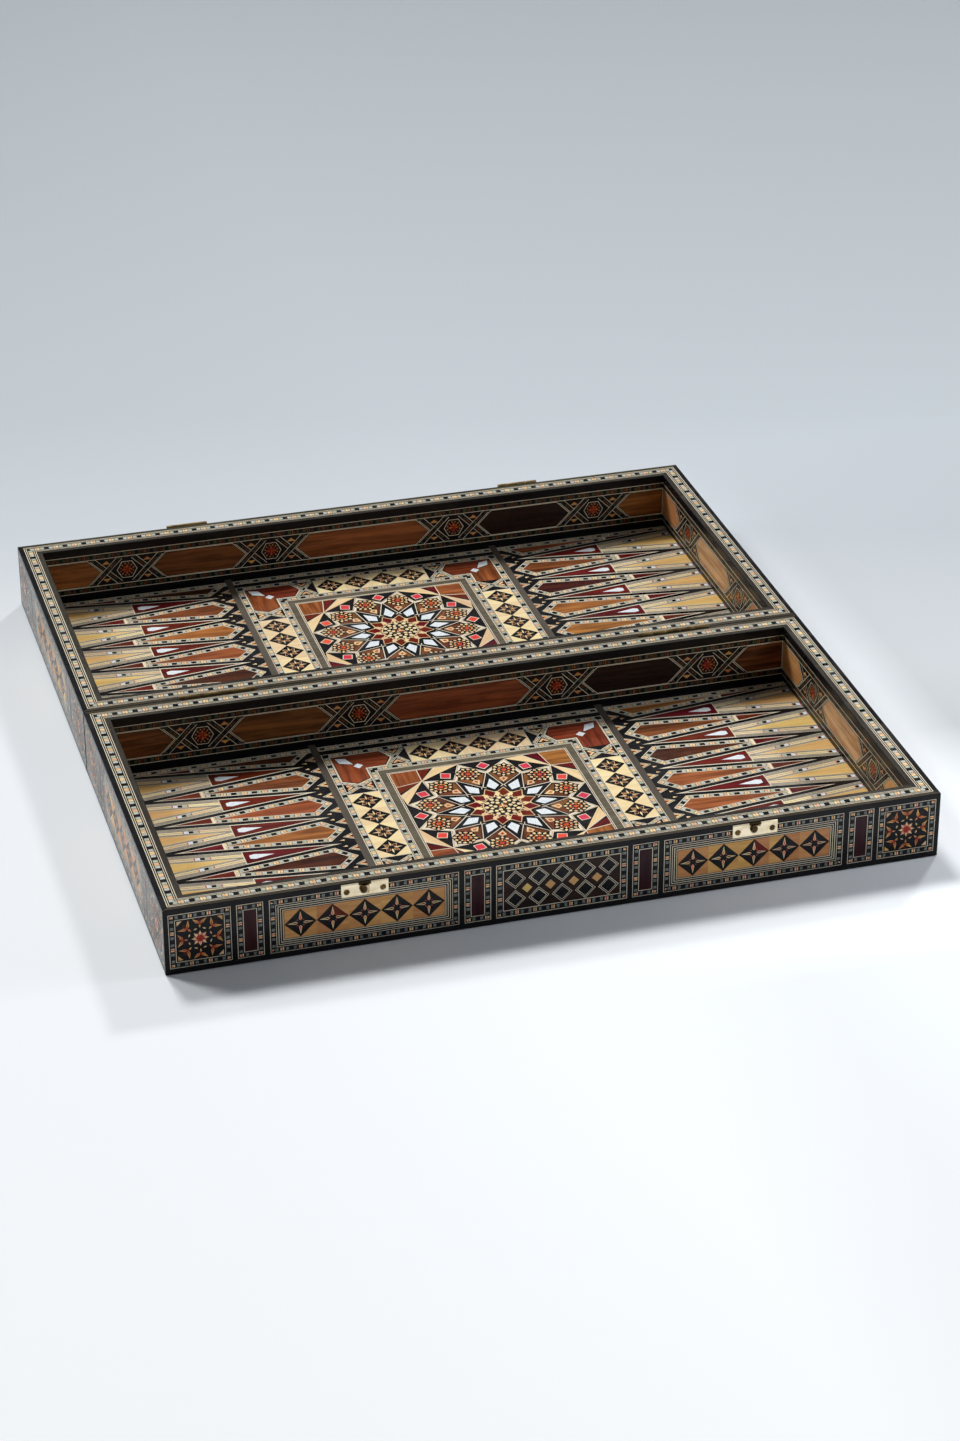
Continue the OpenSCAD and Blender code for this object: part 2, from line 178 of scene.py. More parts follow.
def regular(sides, r, turn=0, centre=(0, 0)):
    return [polar(r, turn + 360 * i / sides, centre) for i in range(sides)]


# -------- inlay

class Inlay:
    """Flat tiles that cover a convex sheet exactly. What is laid later cuts what lies there.
    A tile is its wood, its outline, its veneer (grain angle, two shifts and a tint) and its box."""

    def __init__(self, wood, outline):
        self.outline = anticlockwise(outline)
        self.tiles = []
        if wood:
            self.add(wood, self.outline, fresh_veneer(0))

    def add(self, wood, outline, veneer):
        if outline:
            self.tiles.append((wood, outline, veneer, box_of(outline)))

    def clear(self, cutter):
        low_x, low_y, high_x, high_y = box_of(cutter)
        kept = []
        for tile in self.tiles:
            wood, outline, veneer, (x0, y0, x1, y1) = tile
            apart = x1 <= low_x or x0 >= high_x or y1 <= low_y or y0 >= high_y
            rest = None if apart else without(outline, cutter)
            kept += [tile] if rest is None else [(wood, part, veneer, box_of(part)) for part in rest]
        self.tiles = kept

    def lay(self, wood, outline, grain=None):
        """Lays one convex tile. Its grain runs along its longest side, unless an angle is given."""
        outline = anticlockwise(outline)
        if grain is None:
            pairs = [(outline[i - 1], p) for i, p in enumerate(outline)]
            a, b = max(pairs, key=lambda pair: math.dist(*pair))
            grain = math.degrees(math.atan2(b[1] - a[1], b[0] - a[0]))
        outline = within(outline, self.outline)
        if outline:
            self.clear(outline)
            self.add(wood, outline, fresh_veneer(grain))

    def place(self, motif, turn=0, at=(0, 0)):
        """Lays a finished motif, turned and moved."""
        ground = within(turned(motif.outline, turn, at), self.outline)
        if not ground:
            return
        self.clear(ground)
        fresh = {}
        for wood, outline, veneer, box in motif.tiles:
            if veneer not in fresh:
                fresh[veneer] = fresh_veneer(veneer[0] + turn)
            self.add(wood, within(turned(outline, turn, at), self.outline), fresh[veneer])

    def kept_within(self, cutter):
        """The part of the sheet inside a convex cutter, as a sheet of its own."""
        part = Inlay(None, within(self.outline, cutter))
        for wood, outline, veneer, box in self.tiles:
            part.add(wood, within(outline, cutter), veneer)
        return part


# -------- bands

def lined(blocks, width, *lines):
    """A row of blocks between lines of bone and ebony by turns, given from the outside in."""
    rows = [("ebony" if i % 2 else "bone", line) for i, line in enumerate(lines)]
    return (*rows, (blocks, width), *rows[::-1])


# A row of blocks, as wood and length. It repeats, and its first block lies in the middle of a side.
BLOCKS = (("ebony", 3.6), ("shell", 2.8), ("ebony", 0.4), ("maple", 1.6), ("rose", 0.35), ("maple", 1.6),
          ("ebony", 0.4), ("grey_shell", 2.8))
# The face bands take a darker copy of the green shell: painted shade, as the outer faces lie in shade.
FACE_BLOCKS = (("ebony", 3.1), ("dusk_shell", 1.9), ("ebony", 1.2), ("maple", 0.8), ("rose", 0.7),
               ("maple", 0.8), ("ebony", 1.2), ("dusk_shell", 1.9))
DIM_BLOCKS = (("ebony", 2.6), ("green_wood", 2.4), ("ebony", 0.6), ("walnut", 1.1), ("ebony", 0.5),
              ("walnut", 1.1), ("ebony", 0.6), ("smoked_oak", 2.2))
RIM_EDGE = 3.6
RIM_BAND = (*lined(BLOCKS, 3.1, 0.5, 0.8, 0.45, 0.7), ("bog_oak", 3.9))
FACE_BAND = lined(FACE_BLOCKS, 2.2, 0.4, 0.65)
LATTICE_BAND = lined(FACE_BLOCKS, 2.6, 0.5, 0.6)
WIDE_BAND = (*FACE_BAND, *(("ebony", 0.95), ("bone", 0.5)) * 3, ("ebony", 0.4))
WALL_BAND = lined(DIM_BLOCKS, 2.7, 0.5, 0.5)
RIBBON = lined(DIM_BLOCKS, 1.5, 0.42, 0.8)
THIN_RIBBON = lined(BLOCKS, 1.3, 0.5, 0.3)
MARGIN_BAND = lined(BLOCKS, 2.1, 0.6, 0.45, 0.5, 0.3)
ARROW_BAND = lined(BLOCKS, 2.7, 0.6, 0.25)
STRIP_BAND = (("bone", 0.5), ("ebony", 0.35), (BLOCKS, 2.9), ("ebony", 0.35), ("bone", 0.55))
SQUARE_BAND = lined(BLOCKS, 2.5, 0.6, 0.4, 0.4, 0.3)


def width_of(band):
    return sum(width for wood, width in band)


def blocks_along(blocks, length):
    """Wood, start and end of each block, with the first kind of block in the middle of the length."""
    unit = width_of(blocks)
    start = length / 2 - blocks[0][1] / 2
    start -= unit * math.ceil(start / unit)
    found = []
    while start < length:
        for wood, size in blocks:
            if start + size > 0 and start < length:
                found.append((wood, max(start, 0), min(start + size, length)))
            start += size
    return found


def lay_band(sheet, a, b, band, ends=None):
    """Lays a band on the left of the line from a to b. Its ends are square, or those of an outline."""
    length = math.dist(a, b)
    angle = math.degrees(math.atan2(b[1] - a[1], b[0] - a[0]))
    motif = Inlay(None, ends or beside(a, b, *rectangle(0, 0, length, width_of(band))))
    depth = 0
    for wood, width in band:
        pieces = [(wood, 0, length)] if isinstance(wood, str) else blocks_along(wood, length)
        for name, start, end in pieces:
            strip = beside(a, b, *rectangle(start, depth, end, depth + width))
            outline = within(strip, motif.outline)
            if outline:
                motif.add(name, outline, fresh_veneer(angle))
        depth += width
    sheet.place(motif)


def lay_border(sheet, outline, band, sides=None):
    """Lays a mitred band inside an outline, along all of its sides or those given. Gives what is left."""
    n = len(outline)
    sides = sides or range(n)
    inner = inset(outline, [width_of(band) if i in sides else 0 for i in range(n)])
    for i in sides:
        j = (i + 1) % n
        lay_band(sheet, outline[i], outline[j], band, [outline[i], outline[j], inner[j], inner[i]])
    return inner


def lay_ribbon(sheet, a, b, band):
    """Lays a band centred on the line from a to b."""
    lay_band(sheet, *shifted(a, b, -width_of(band) / 2), band)


def lay_line(sheet, a, b, wood, width):
    right, left = shifted(a, b, -width / 2), shifted(a, b, width / 2)
    sheet.lay(wood, [left[0], *right, left[1]])


# -------- motifs

def kite(centre, angle, near, broad, half_width, far):
    """A kite that points away from a centre: its near end, where it is broadest, and its far end."""
    across = math.degrees(math.atan2(half_width, broad))
    r = math.hypot(broad, half_width)
    return [polar(near, angle, centre), polar(r, angle - across, centre),
            polar(far, angle, centre), polar(r, angle + across, centre)]


def lay_kites(sheet, centre, count, turn, *rows):
    """Lays kites round a centre. A row is a wood, or two that take turns, a further turn and the kite's
    four measures. All the rows of one direction are laid before those of the next."""
    for i in range(count):
        for wood, further, *measures in rows:
            name = wood if isinstance(wood, str) else wood[i % 2]
            sheet.lay(name, kite(centre, 360 / count * i + turn + further, *measures))


def diamond(centre, half_w, half_h):
    x, y = centre
    return [(x - half_w, y), (x, y - half_h), (x + half_w, y), (x, y + half_h)]


def lay_flower(sheet, centre, r):
    """A dark hexagon in a pale line, with a red and orange flower in a ring of small pale seeds."""
    for wood, share in (("bone", 1), ("ebony", 0.93), ("rosewood", 0.84), ("ebony", 0.72)):
        sheet.lay(wood, regular(6, r * share, 0, centre))
    lay_kites(sheet, centre, 12, 0, ("lemonwood", 15, r * 0.54, r * 0.61, r * 0.07, r * 0.7))
    lay_kites(sheet, centre, 8, 0, (("orange", "brick"), 0, r * 0.08, r * 0.34, r * 0.11, r * 0.56))
    sheet.lay("brick", regular(8, r * 0.12, 0, centre))


def lay_diamond_star(sheet, centre, half_w, half_h):
    """A black diamond with a four-pointed star of slim pale kites round a black square."""
    x, y = centre
    sheet.lay("ebony", diamond(centre, half_w, half_h))
    if chance.random() < MENDED:
        sheet.lay("padauk", [(x, y), (x + half_w, y), (x, y + half_h)])
    for i in range(4):
        reach = 0.82 * (half_h if i % 2 else half_w)
        lay_kites(sheet, centre, 1, 90 * i,
                  ("rose", 45, 1.5, 2.4, 0.5, 3.4), ("maple", 0, 1.5, 3, 1.05, reach),
                  ("red" if i % 2 else "rosewood", 0, 1.9, 3.2, 0.45, reach * 0.72))
    sheet.lay("ebony", rectangle(x - 1.85, y - 1.85, x + 1.85, y + 1.85))


def lay_corner_star(sheet, outline):
    """The square mosaic of eight pale three-pointed stars round a red flower."""
    (x0, y0), (x1, y1) = outline[0], outline[2]
    centre = ((x0 + x1) / 2, (y0 + y1) / 2)
    sheet.lay("ebony", outline)
    for i in range(8):
        angle = 45 * i
        away, arm = (10.6, 6.3) if i % 2 else (10.2, 5.9)
        pale, red = (0, 2.2, 1, arm), (0.2, 1.8, 0.42, arm * 0.64)
        lay_kites(sheet, polar(away, angle, centre), 1, angle, ("rosewood", 0, 0.2, 2.6, 2.1, 4.4),
                  ("lemonwood", -50, *pale), ("brick", -50, *red),
                  ("lemonwood", 50, *pale), ("brick", 50, *red),
                  ("lemonwood", 180, 0, 1.2, 0.65, 3), ("brick", 0, -1.2, 0.1, 0.75, 2.1))
        lay_kites(sheet, polar(7.2, angle + 22.5, centre), 1, angle, ("maple", 112.5, -1.3, 0, 0.5, 1.3))
    lay_kites(sheet, centre, 8, 0, ("brick", 22.5, 0, 2.6, 0.9, 4.6), ("maple", 0, 1.2, 3.2, 0.95, 5.5),
              ("brick", 0, 0, 1.6, 0.45, 3.4))
    for x, y, sx, sy in ((x0, y0, 1, 1), (x1, y0, -1, 1), (x1, y1, -1, -1), (x0, y1, 1, -1)):
        cx, cy = x + sx * 0.9, y + sy * 0.9
        sheet.lay("lemonwood" if sx == sy else "maple", [(cx, cy), (cx + sx * 3.2, cy), (cx, cy + sy * 3.2)])


def lay_crossing(sheet, centre, half):
    """Two ribbons that cross at a centre, from edge to edge of a belt that runs along X."""
    x, y = centre
    for end in (-1, 1):
        tip, foot = y + end * half * 0.9, y + end * half * 0.56
        sheet.lay("ebony", [(x, y), (x - half * 1.3, y + end * half), (x + half * 1.3, y + end * half)])
        for wood, share, top in (("rosewood", 0.44, tip), ("lemonwood", 0.3, tip - end * half * 0.09)):
            sheet.lay(wood, [(x - half * share, foot), (x + half * share, foot), (x, top)])
    for lean in (1, -1):
        lay_ribbon(sheet, (x + lean * half, y - half), (x - lean * half, y + half), RIBBON)


# -------- sheets on the outside

RIM_TOP = 45.5
FACE_TOP = 44.5
PANEL_LOW, PANEL_HIGH = 3.8, 41.7       # height of the panels' edges on the outside
MENDED = 0.2                            # the share of diamonds with one red quarter
DIAMONDS = 5                            # in one panel
RING_ROW_OFF = 7.15                     # from the middle of the lattice to its rows of rings
RINGS = (("bone", 6.7), ("ebony", 6.2), ("bone", 5.3), ("ebony", 4.8))


def panel(sheet, x0, x1, band=FACE_BAND):
    return lay_border(sheet, rectangle(x0, PANEL_LOW, x1, PANEL_HIGH), band)


def star_panel(sheet, x0, x1):
    lay_corner_star(sheet, panel(sheet, x0, x1))


def slim_panel(sheet, x0, x1):
    sheet.lay("purpleheart", panel(sheet, x0, x1), 90)


def diamond_panel(sheet, x0, x1):
    """A pale panel in a wide border, with a row of dark diamonds that touch."""
    inner = panel(sheet, x0, x1, WIDE_BAND)
    (low_x, low_y), (high_x, high_y) = inner[0], inner[2]
    middle, half_w, half_h = (low_y + high_y) / 2, (high_x - low_x) / 2 / DIAMONDS, (high_y - low_y) / 2
    centres = [low_x + (2 * i + 1) * half_w for i in range(DIAMONDS)]
    for x in centres:
        sheet.lay("lemonwood", rectangle(x - half_w, low_y, x, high_y), 0)
        sheet.lay("lemonwood", rectangle(x, low_y, x + half_w, high_y), 0)
    for x in centres:
        lay_diamond_star(sheet, (x, middle), half_w, half_h)


def lattice_panel(sheet, x0, x1):
    """A dark panel with two rows of pale diamond rings and a row of small pale diamonds."""
    inner = panel(sheet, x0, x1, LATTICE_BAND)
    (low_x, low_y), (high_x, high_y) = inner[0], inner[2]
    sheet.lay("blackwood", inner, 0)
    step, middle = (high_x - low_x) / DIAMONDS, (low_y + high_y) / 2
    for i in range(DIAMONDS):
        x = low_x + (i + 0.5) * step
        for y in (middle - RING_ROW_OFF, middle + RING_ROW_OFF):
            for wood, r in RINGS:
                sheet.lay(wood, regular(4, r, 0, (x, y)))
        if i:
            for wood, r in (("ebony", 3.9), ("satinwood", 3.4)):
                sheet.lay(wood, regular(4, r, 0, (x - step / 2, middle)))


LONG_FACE = (250, ((slim_panel, 45.7, 62.6), (diamond_panel, 66.1, 185.0), (slim_panel, 188.6, 205.2),
                   (star_panel, 208.6, 247.1)), lattice_panel, 42.4)
SHORT_FACE = (128.95, ((slim_panel, 67.5, 84.0), (star_panel, 87.4, 125.9)), diamond_panel, 64)


def wall_face(half_length, panels, middle_panel, middle_half):
    """A wall's outside: panels, given by their near and far ends, on both sides of a middle one."""
    sheet = Inlay("ebony", rectangle(-half_length, 0, half_length, FACE_TOP))
    for side in (-1, 1):
        for make, near, far in panels:
            make(sheet, *sorted((side * near, side * far)))
    middle_panel(sheet, -middle_half, middle_half)
    return sheet


# -------- sheets on the inside walls

INNER_X = 234.5
FLOOR_HALF = 113.5                      # from the middle of a tray to its long walls
WALL_LOW = 4.5
ZONE_LOW, ZONE_HIGH = RIM_TOP - 31.4, RIM_TOP - 10.8
ZONE_MIDDLE, ZONE_HALF = (ZONE_LOW + ZONE_HIGH) / 2, (ZONE_HIGH - ZONE_LOW) / 2
STAR_HALF = 18.5                        # from a star's middle to the panels beside it
CROSSING_OFF, FLOWER_R = 15, 7.6        # the two crossings and the flower of a star
BAND_GAP = 0.1
LONG_STARS, END_STARS = (-174, -67, 71.5, 180), (-55, 55)
OUTER_WALL = (INNER_X, LONG_STARS, ("umber", "walnut", "umber", "blackwood", "umber"))
HINGE_WALL = (INNER_X, LONG_STARS, ("walnut", "walnut", "umber", "blackwood", "walnut"))
END_WALL = (FLOOR_HALF, END_STARS, ("lemonwood", "tan_wood", "lemonwood"))


def wall_panel(sheet, x0, x1, wood, pointed):
    """A plain panel of one wood in a thin line. pointed says which of its ends come to a point."""
    for name, back in (("bone", 0), ("ebony", 0.45), (wood, 0.9)):
        low, high = ZONE_LOW + back, ZONE_HIGH - back
        outline = []
        for x, way, sharp in ((x0, 1, pointed[0]), (x1, -1, pointed[1])):
            end = [(x + way * back, high), (x + way * back, low)]
            if sharp:
                tip = x + way * back * 1.4
                shoulder = tip + way * (ZONE_HALF - back)
                end = [(shoulder, high), (tip, ZONE_MIDDLE), (shoulder, low)]
            outline += end[::way]
        sheet.lay(name, outline, 0)


def lay_wall_star(sheet, x):
    """Two crossings of ribbons side by side, and a flower in the hexagon between them."""
    for side in (-1, 1):
        lay_crossing(sheet, (x + side * CROSSING_OFF, ZONE_MIDDLE), ZONE_HALF)
    lay_flower(sheet, (x, ZONE_MIDDLE), FLOWER_R)


def wall_lining(half_length, stars, woods):
    """A wall's inside: panels with a star between each two of them, and a band above and below."""
    sheet = Inlay("ebony", rectangle(-half_length, WALL_LOW, half_length, FACE_TOP))
    starts = (-half_length, *[x + STAR_HALF for x in stars])
    ends = (*[x - STAR_HALF for x in stars], half_length)
    for i, wood in enumerate(woods):
        wall_panel(sheet, starts[i], ends[i], wood, (i > 0, i < len(stars)))
    for x in stars:
        lay_wall_star(sheet, x)
    for foot in (ZONE_LOW - width_of(WALL_BAND) - BAND_GAP, ZONE_HIGH + BAND_GAP):
        lay_band(sheet, (-half_length, foot), (half_length, foot), WALL_BAND)
    return sheet


# -------- rims

MITRE_GAP = 0.05


def rim_strip(a, b, edge_wood):
    """The mitred strip of a rim whose outer edge runs from a to b, with the tray on its left."""
    band = ((edge_wood, RIM_EDGE), *RIM_BAND)
    width, length, gap = width_of(band), math.dist(a, b), MITRE_GAP
    outline = beside(a, b, (gap, 0), (length - gap, 0), (length - width - gap, width), (width + gap, width))
    sheet = Inlay(None, outline)
    lay_band(sheet, a, b, band, outline)
    return sheet


# -------- sheets made solid

THICK = 1
SOFT = 0.3                              # how far a softened edge is cut back
SAME_POINT = 2000                       # points that agree to one part in this of a millimetre are one
NEAR_LINE, NEAR_END = 0.002, 0.001
SQUARE = 3                              # the size of the squares in which neighbouring points are looked up
# Where a sheet lies in the picture that its finish is baked to: its top, its underside and its edges.
TOP_CELL = (0.004, 0.004, 0.996, 0.9)
UNDER_CELL = (0.01, 0.96, 0.99, 0.995)
EDGE_START, EDGE_SHARE = 0.004, 0.97
EDGE_HIGH, EDGE_LOW, CHAMFER_LOW, BELOW_CHAMFER = 0.955, 0.91, 0.935, 0.93
EDGE_FINISH = ("ebony", 0.5)


class Plane:
    """Where a sheet's drawing lies on the object: its origin, its two directions and its outward side."""

    def __init__(self, origin, along, up):
        self.origin, self.along, self.up = Vector(origin), Vector(along), Vector(up)
        self.out = self.along.cross(self.up)

    def point(self, x, y, depth=0):
        return (self.origin + self.along * x + self.up * y - self.out * depth) * MM


def drawn_into(points, box, cell):
    """Points of a drawing mapped from its box to a cell of the baked picture."""
    x0, y0, x1, y1 = box
    u0, v0, u1, v1 = cell
    return [(u0 + (u1 - u0) * (x - x0) / (x1 - x0), v0 + (v1 - v0) * (y - y0) / (y1 - y0))
            for x, y in points]


def squares_touched(a, b):
    """The look-up squares that the straight line from a to b can touch."""
    low, high = [[math.floor(pick(p, q) / SQUARE + margin) for p, q in zip(a, b)]
                 for pick, margin in ((min, -NEAR_END), (max, NEAR_END))]
    return [(x, y) for x in range(low[0], high[0] + 1) for y in range(low[1], high[1] + 1)]


def joined_at_crossings(outlines):
    """Outlines as lists of shared points, each with the points of its neighbours that lie on its sides."""
    index, points, squares = {}, [], {}

    def shared(p):
        key = (round(p[0] * SAME_POINT), round(p[1] * SAME_POINT))
        if key not in index:
            index[key] = len(points)
            points.append(p)
            squares.setdefault((math.floor(p[0] / SQUARE), math.floor(p[1] / SQUARE)), []).append(index[key])
        return index[key]

    rows = [[shared(p) for p in outline] for outline in outlines]
    joined = []
    for row in rows:
        full = []
        for i, a in enumerate(row):
            b = row[(i + 1) % len(row)]
            if a == b:
                continue
            full.append(a)
            (ax, ay), (bx, by) = points[a], points[b]
            length = math.hypot(bx - ax, by - ay)
            found = []
            for square in squares_touched(points[a], points[b]):
                for c in squares.get(square, ()):
                    px, py = points[c]
                    along = ((px - ax) * (bx - ax) + (py - ay) * (by - ay)) / length
                    off = abs((px - ax) * (by - ay) - (py - ay) * (bx - ax)) / length
                    if off < NEAR_LINE and NEAR_END < along < length - NEAR_END and c not in (a, b):
                        found.append((along, c))
            full += [c for along, c in sorted(found)]
        joined.append(full)
    return points, joined


def solid_sheet(name, sheet, plane, body, replaced, rounded=()):
    """Makes a closed sheet of veneer. rounded names the outline's sides that have a softened edge."""
    outline = sheet.outline
    n = len(outline)
    top = inset(outline, [SOFT if i in rounded else 0 for i in range(n)])
    if rounded:
        sheet = sheet.kept_within(top)
    flat, (rim_row, *rows) = joined_at_crossings([top] + [tile[1] for tile in sheet.tiles])
    verts = [plane.point(*p) for p in flat]
    box = box_of(outline)
    # Each face's corners, their places in the baked picture and in the grain, its wood and its tint.
    skin = []
    for (wood, shape, (angle, *shift, tint), tile_box), row in zip(sheet.tiles, rows):
        points = [flat[i] for i in row]
        skin.append((row, drawn_into(points, box, TOP_CELL), turned(points, -angle, shift), wood, tint))

    def ring(depth):
        start = len(verts)
        verts.extend(plane.point(*p, depth) for p in outline)
        return list(range(start, start + n))

    upper = ring(SOFT) if rounded else None
    lower = ring(THICK)
    corners = [rim_row.index(next(i for i in rim_row if math.dist(flat[i], p) < 10 * NEAR_END)) for p in top]
    for k in range(n):
        j = (k + 1) % n
        start, end = corners[k], corners[j]
        run = (rim_row[start:end + 1] if end > start else rim_row[start:] + rim_row[:end + 1])[::-1]
        length = math.dist(outline[k], outline[j])
        u0, u1 = EDGE_START + k / (n + 1), (k + EDGE_SHARE) / (n + 1)
        stretch = (u1 - u0) / length
        marks = [math.dist(flat[i], top[k]) for i in run]
        faces = [(run, marks, lower, EDGE_HIGH, EDGE_LOW, 0)]
        if rounded:
            faces = [(run, marks, upper, EDGE_HIGH, CHAMFER_LOW, 0),
                     ([upper[j], upper[k]], [length, 0], lower, BELOW_CHAMFER, EDGE_LOW, 1)]
        for row, marks, foot, high, low, across in faces:
            baked = [(u0 + mark * stretch, high) for mark in marks] + [(u0, low), (u1, low)]
            grain = [(mark, across) for mark in marks] + [(0, across + 1), (length, across + 1)]
            skin.append(([*row, foot[k], foot[j]], baked, grain, *EDGE_FINISH))
    skin.append((lower[::-1], drawn_into(outline[::-1], box, UNDER_CELL), outline[::-1], *EDGE_FINISH))

    faces, places, grains, woods, tints = zip(*skin)
    mesh = bpy.data.meshes.new(name)
    mesh.from_pydata(verts, [], faces)
    names = sorted(set(woods))
    for wood in names:
        mesh.materials.append(WOODS[wood])
    mesh.polygons.foreach_set("material_index", [names.index(wood) for wood in woods])
    for layer, maps in (("OFBake", places), ("grain", grains)):
        mesh.uv_layers.new(name=layer).data.foreach_set("uv", [c for uvs in maps for uv in uvs for c in uv])
    mesh.attributes.new("tint", "FLOAT", "FACE").data.foreach_set("value", tints)
    mesh.update()
    piece = bpy.data.objects.new(name, mesh)
    bpy.context.scene.collection.objects.link(piece)
    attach(piece, body)
    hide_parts(*replaced)


def cut_places(low, high, count):
    return [low - 1] + [low + (high - low) * i / count for i in range(1, count)] + [high + 1]


def solid_lengths(name, sheet, plane, body, replaced, cuts, rounded=False):
    """Makes a sheet in several lengths: so many along the drawing's X, and so many along its Y."""
    x0, y0, x1, y1 = box_of(sheet.outline)
    xs, ys = cut_places(x0, x1, cuts[0]), cut_places(y0, y1, cuts[1])
    cells = [rectangle(xs[i], ys[j], xs[i + 1], ys[j + 1]) for i in range(cuts[0]) for j in range(cuts[1])]
    for number, cell in enumerate(cells, 1):
        part = sheet.kept_within(cell)
        starts, ends = part.outline, [*part.outline[1:], part.outline[0]]
        sides = [k for k, p in enumerate(starts) if rounded and on_long_edge(sheet.outline, p, ends[k])]
        solid_sheet(f"{name}_{number}", part, plane, body, replaced, sides)


def on_long_edge(outline, a, b):
    """Whether a side from a to b lies on the first or third side of a mitred strip's outline."""
    for p, q in (outline[0:2], outline[2:4]):
        length = math.dist(p, q)
        offs = [abs((q[0] - p[0]) * (r[1] - p[1]) - (q[1] - p[1]) * (r[0] - p[0])) / length for r in (a, b)]
        if max(offs) < 10 * NEAR_END:
            return True
    return False


# -------- floors

POINT_L, POINT_HALF = 131.5, 17.2
FIELD_HALF = 103.2                      # from the middle of a tray to the strip along a long wall
# The pale wedge of a light point: the depths of its lines, bone and ebony by turns, then its middle.
POINT_LINES = (1.2, 1.7, 2.35, 2.85, 3.45, 3.95, 4.55, 5.1, 8, 8.5, 9, 9.4, 9.9)
POINT_WEDGE = 10.4
# The blocks between those lines, as wood and end. None leaves the ebony.
POINT_BLOCKS = (("rose", 0.7), ("pearl", 3.4), (None, 5.6), ("rose", 6.3), ("holly", 27.3), ("rose", 28.1),
                ("pearl", 31.2), (None, 34.2), ("shell", 37.4), ("rose", 38.2), ("holly", 58))
POINT_RED_FROM = 58
ARROW_FOOT, ARROW_SHOULDER, ARROW_END, ARROW_DEPTH = 2.6, 15, 82, 2.2


def point_edge(u, depth):
    """Half the width of a point, less a depth, at a distance from its foot."""
    return POINT_HALF * (1 - u / POINT_L) - depth


def nested_point(depth, start=0):
    half = point_edge(start, depth)
    return [(start, -half), (POINT_L * (1 - depth / POINT_HALF), 0), (start, half)]


def light_point():
    """A point whose foot is on the short wall: a pale wedge in lines, then a dark red tip with a drop."""
    motif = Inlay("ebony", nested_point(0))
    for i, depth in enumerate(POINT_LINES):
        motif.lay("ebony" if i % 2 else "bone", nested_point(depth), 0)
    motif.lay("satinwood", nested_point(POINT_WEDGE), 0)
    for side in (-1, 1):
        start = 0
        for wood, end in POINT_BLOCKS:
            lined_block = wood == "holly"
            for name, low, high in ((wood, 5.2, 7.9), (lined_block and "ebony", 6.4, 6.7)):
                corners = ((start, low), (end, low), (end, high), (start, high))
                outline = [(u, side * point_edge(u, depth)) for u, depth in corners]
                if name:
                    motif.lay(name, outline, 0 if lined_block else 90)
            start = end
    for wood, back, depth in (("bone", 0, 1.7), ("ebony", 0.7, 2.1), ("padauk", 1, 2.6)):
        motif.lay(wood, nested_point(depth, POINT_RED_FROM + back), 0)
    motif.lay("pearl", [(62, -2), (65.5, -3), (78, 0), (65.5, 3), (62, 2)])
    return motif


def dark_point(wood):
    """A point whose foot is on a divider: an arrow in a band of blocks, then a thin dark tip."""
    motif = Inlay("ebony", nested_point(0))
    motif.lay("bone", nested_point(ARROW_DEPTH, ARROW_END), 0)
    motif.lay("padauk", nested_point(ARROW_DEPTH + 0.7, ARROW_END + 1), 0)
    arrow = [(ARROW_FOOT, 0)]
    for u, side in ((ARROW_SHOULDER, -1), (ARROW_END, -1), (ARROW_END, 1), (ARROW_SHOULDER, 1)):
        arrow.append((u, side * point_edge(u, ARROW_DEPTH)))
    motif.lay(wood, arrow, 0)
    lay_border(motif, arrow, ARROW_BAND, (4, 0, 1, 3))
    close = ((ARROW_END - 0.7, -1), (ARROW_END + 0.2, -1), (ARROW_END + 0.2, 1), (ARROW_END - 0.7, 1))
    motif.lay("bone", [(u, side * point_edge(u, ARROW_DEPTH)) for u, side in close], 90)
    for side in (-1, 1):
        middle = side * 9.6
        for name, reach, half in (("bone", 6.8, 3.9), ("ebony", 6, 3.3), ("maple", 5.2, 2.7),
                                  ("orange", 3.4, 1.6), ("ebony", 1.9, 0.9)):
            motif.lay(name, [(0, middle - half), (reach, middle), (0, middle + half)])
        motif.lay("maple", [(9.6, side * 13.2), (6.8, side * 14.6), (6.4, side * 12.4)])
    return motif


LIGHT_POINT = light_point()
DARK_POINTS = [dark_point(wood) for wood in ("walnut", "umber", "rosewood")]
DARK_ORDER = (1, 0, 2, 1, 1, 0, 2)


def point_field():
    """A floor beside a short wall. X runs from the wall to the divider, Y is centred on the tray."""
    sheet = Inlay("ebony", rectangle(0, -FLOOR_HALF, POINT_L, FLOOR_HALF))
    for i, kind in enumerate(DARK_ORDER):
        sheet.place(DARK_POINTS[kind], 180, (POINT_L, (i - 3) * 2 * POINT_HALF))
    for i in range(6):
        sheet.place(LIGHT_POINT, 0, (0, (i - 2.5) * 2 * POINT_HALF))
    lay_margins(sheet, 0, POINT_L)
    return sheet


def lay_margins(sheet, x0, x1):
    """The strips along the long walls."""
    width = width_of(MARGIN_BAND)
    for low, high, foot in ((FIELD_HALF, FLOOR_HALF, FIELD_HALF),
                            (-FLOOR_HALF, -FIELD_HALF, -FIELD_HALF - width)):
        sheet.lay("ebony", rectangle(x0, low, x1, high), 0)
        lay_band(sheet, (x0, foot), (x1, foot), MARGIN_BAND)


CENTRE_HALF = 98                        # of the floor between the dividers, along X
STRIP_NEAR, STRIP_FAR = 72.8, 93.3      # the strip of stars round the middle square
MEDALLION_HALF = 60.5
RAY_STEP, BLOCK_FAR, RAY_TIP = 30, 62, 46.6
FAN_FOOT, FAN_EDGE = 30.6, 42           # the lines that fan out in the medallion's corners


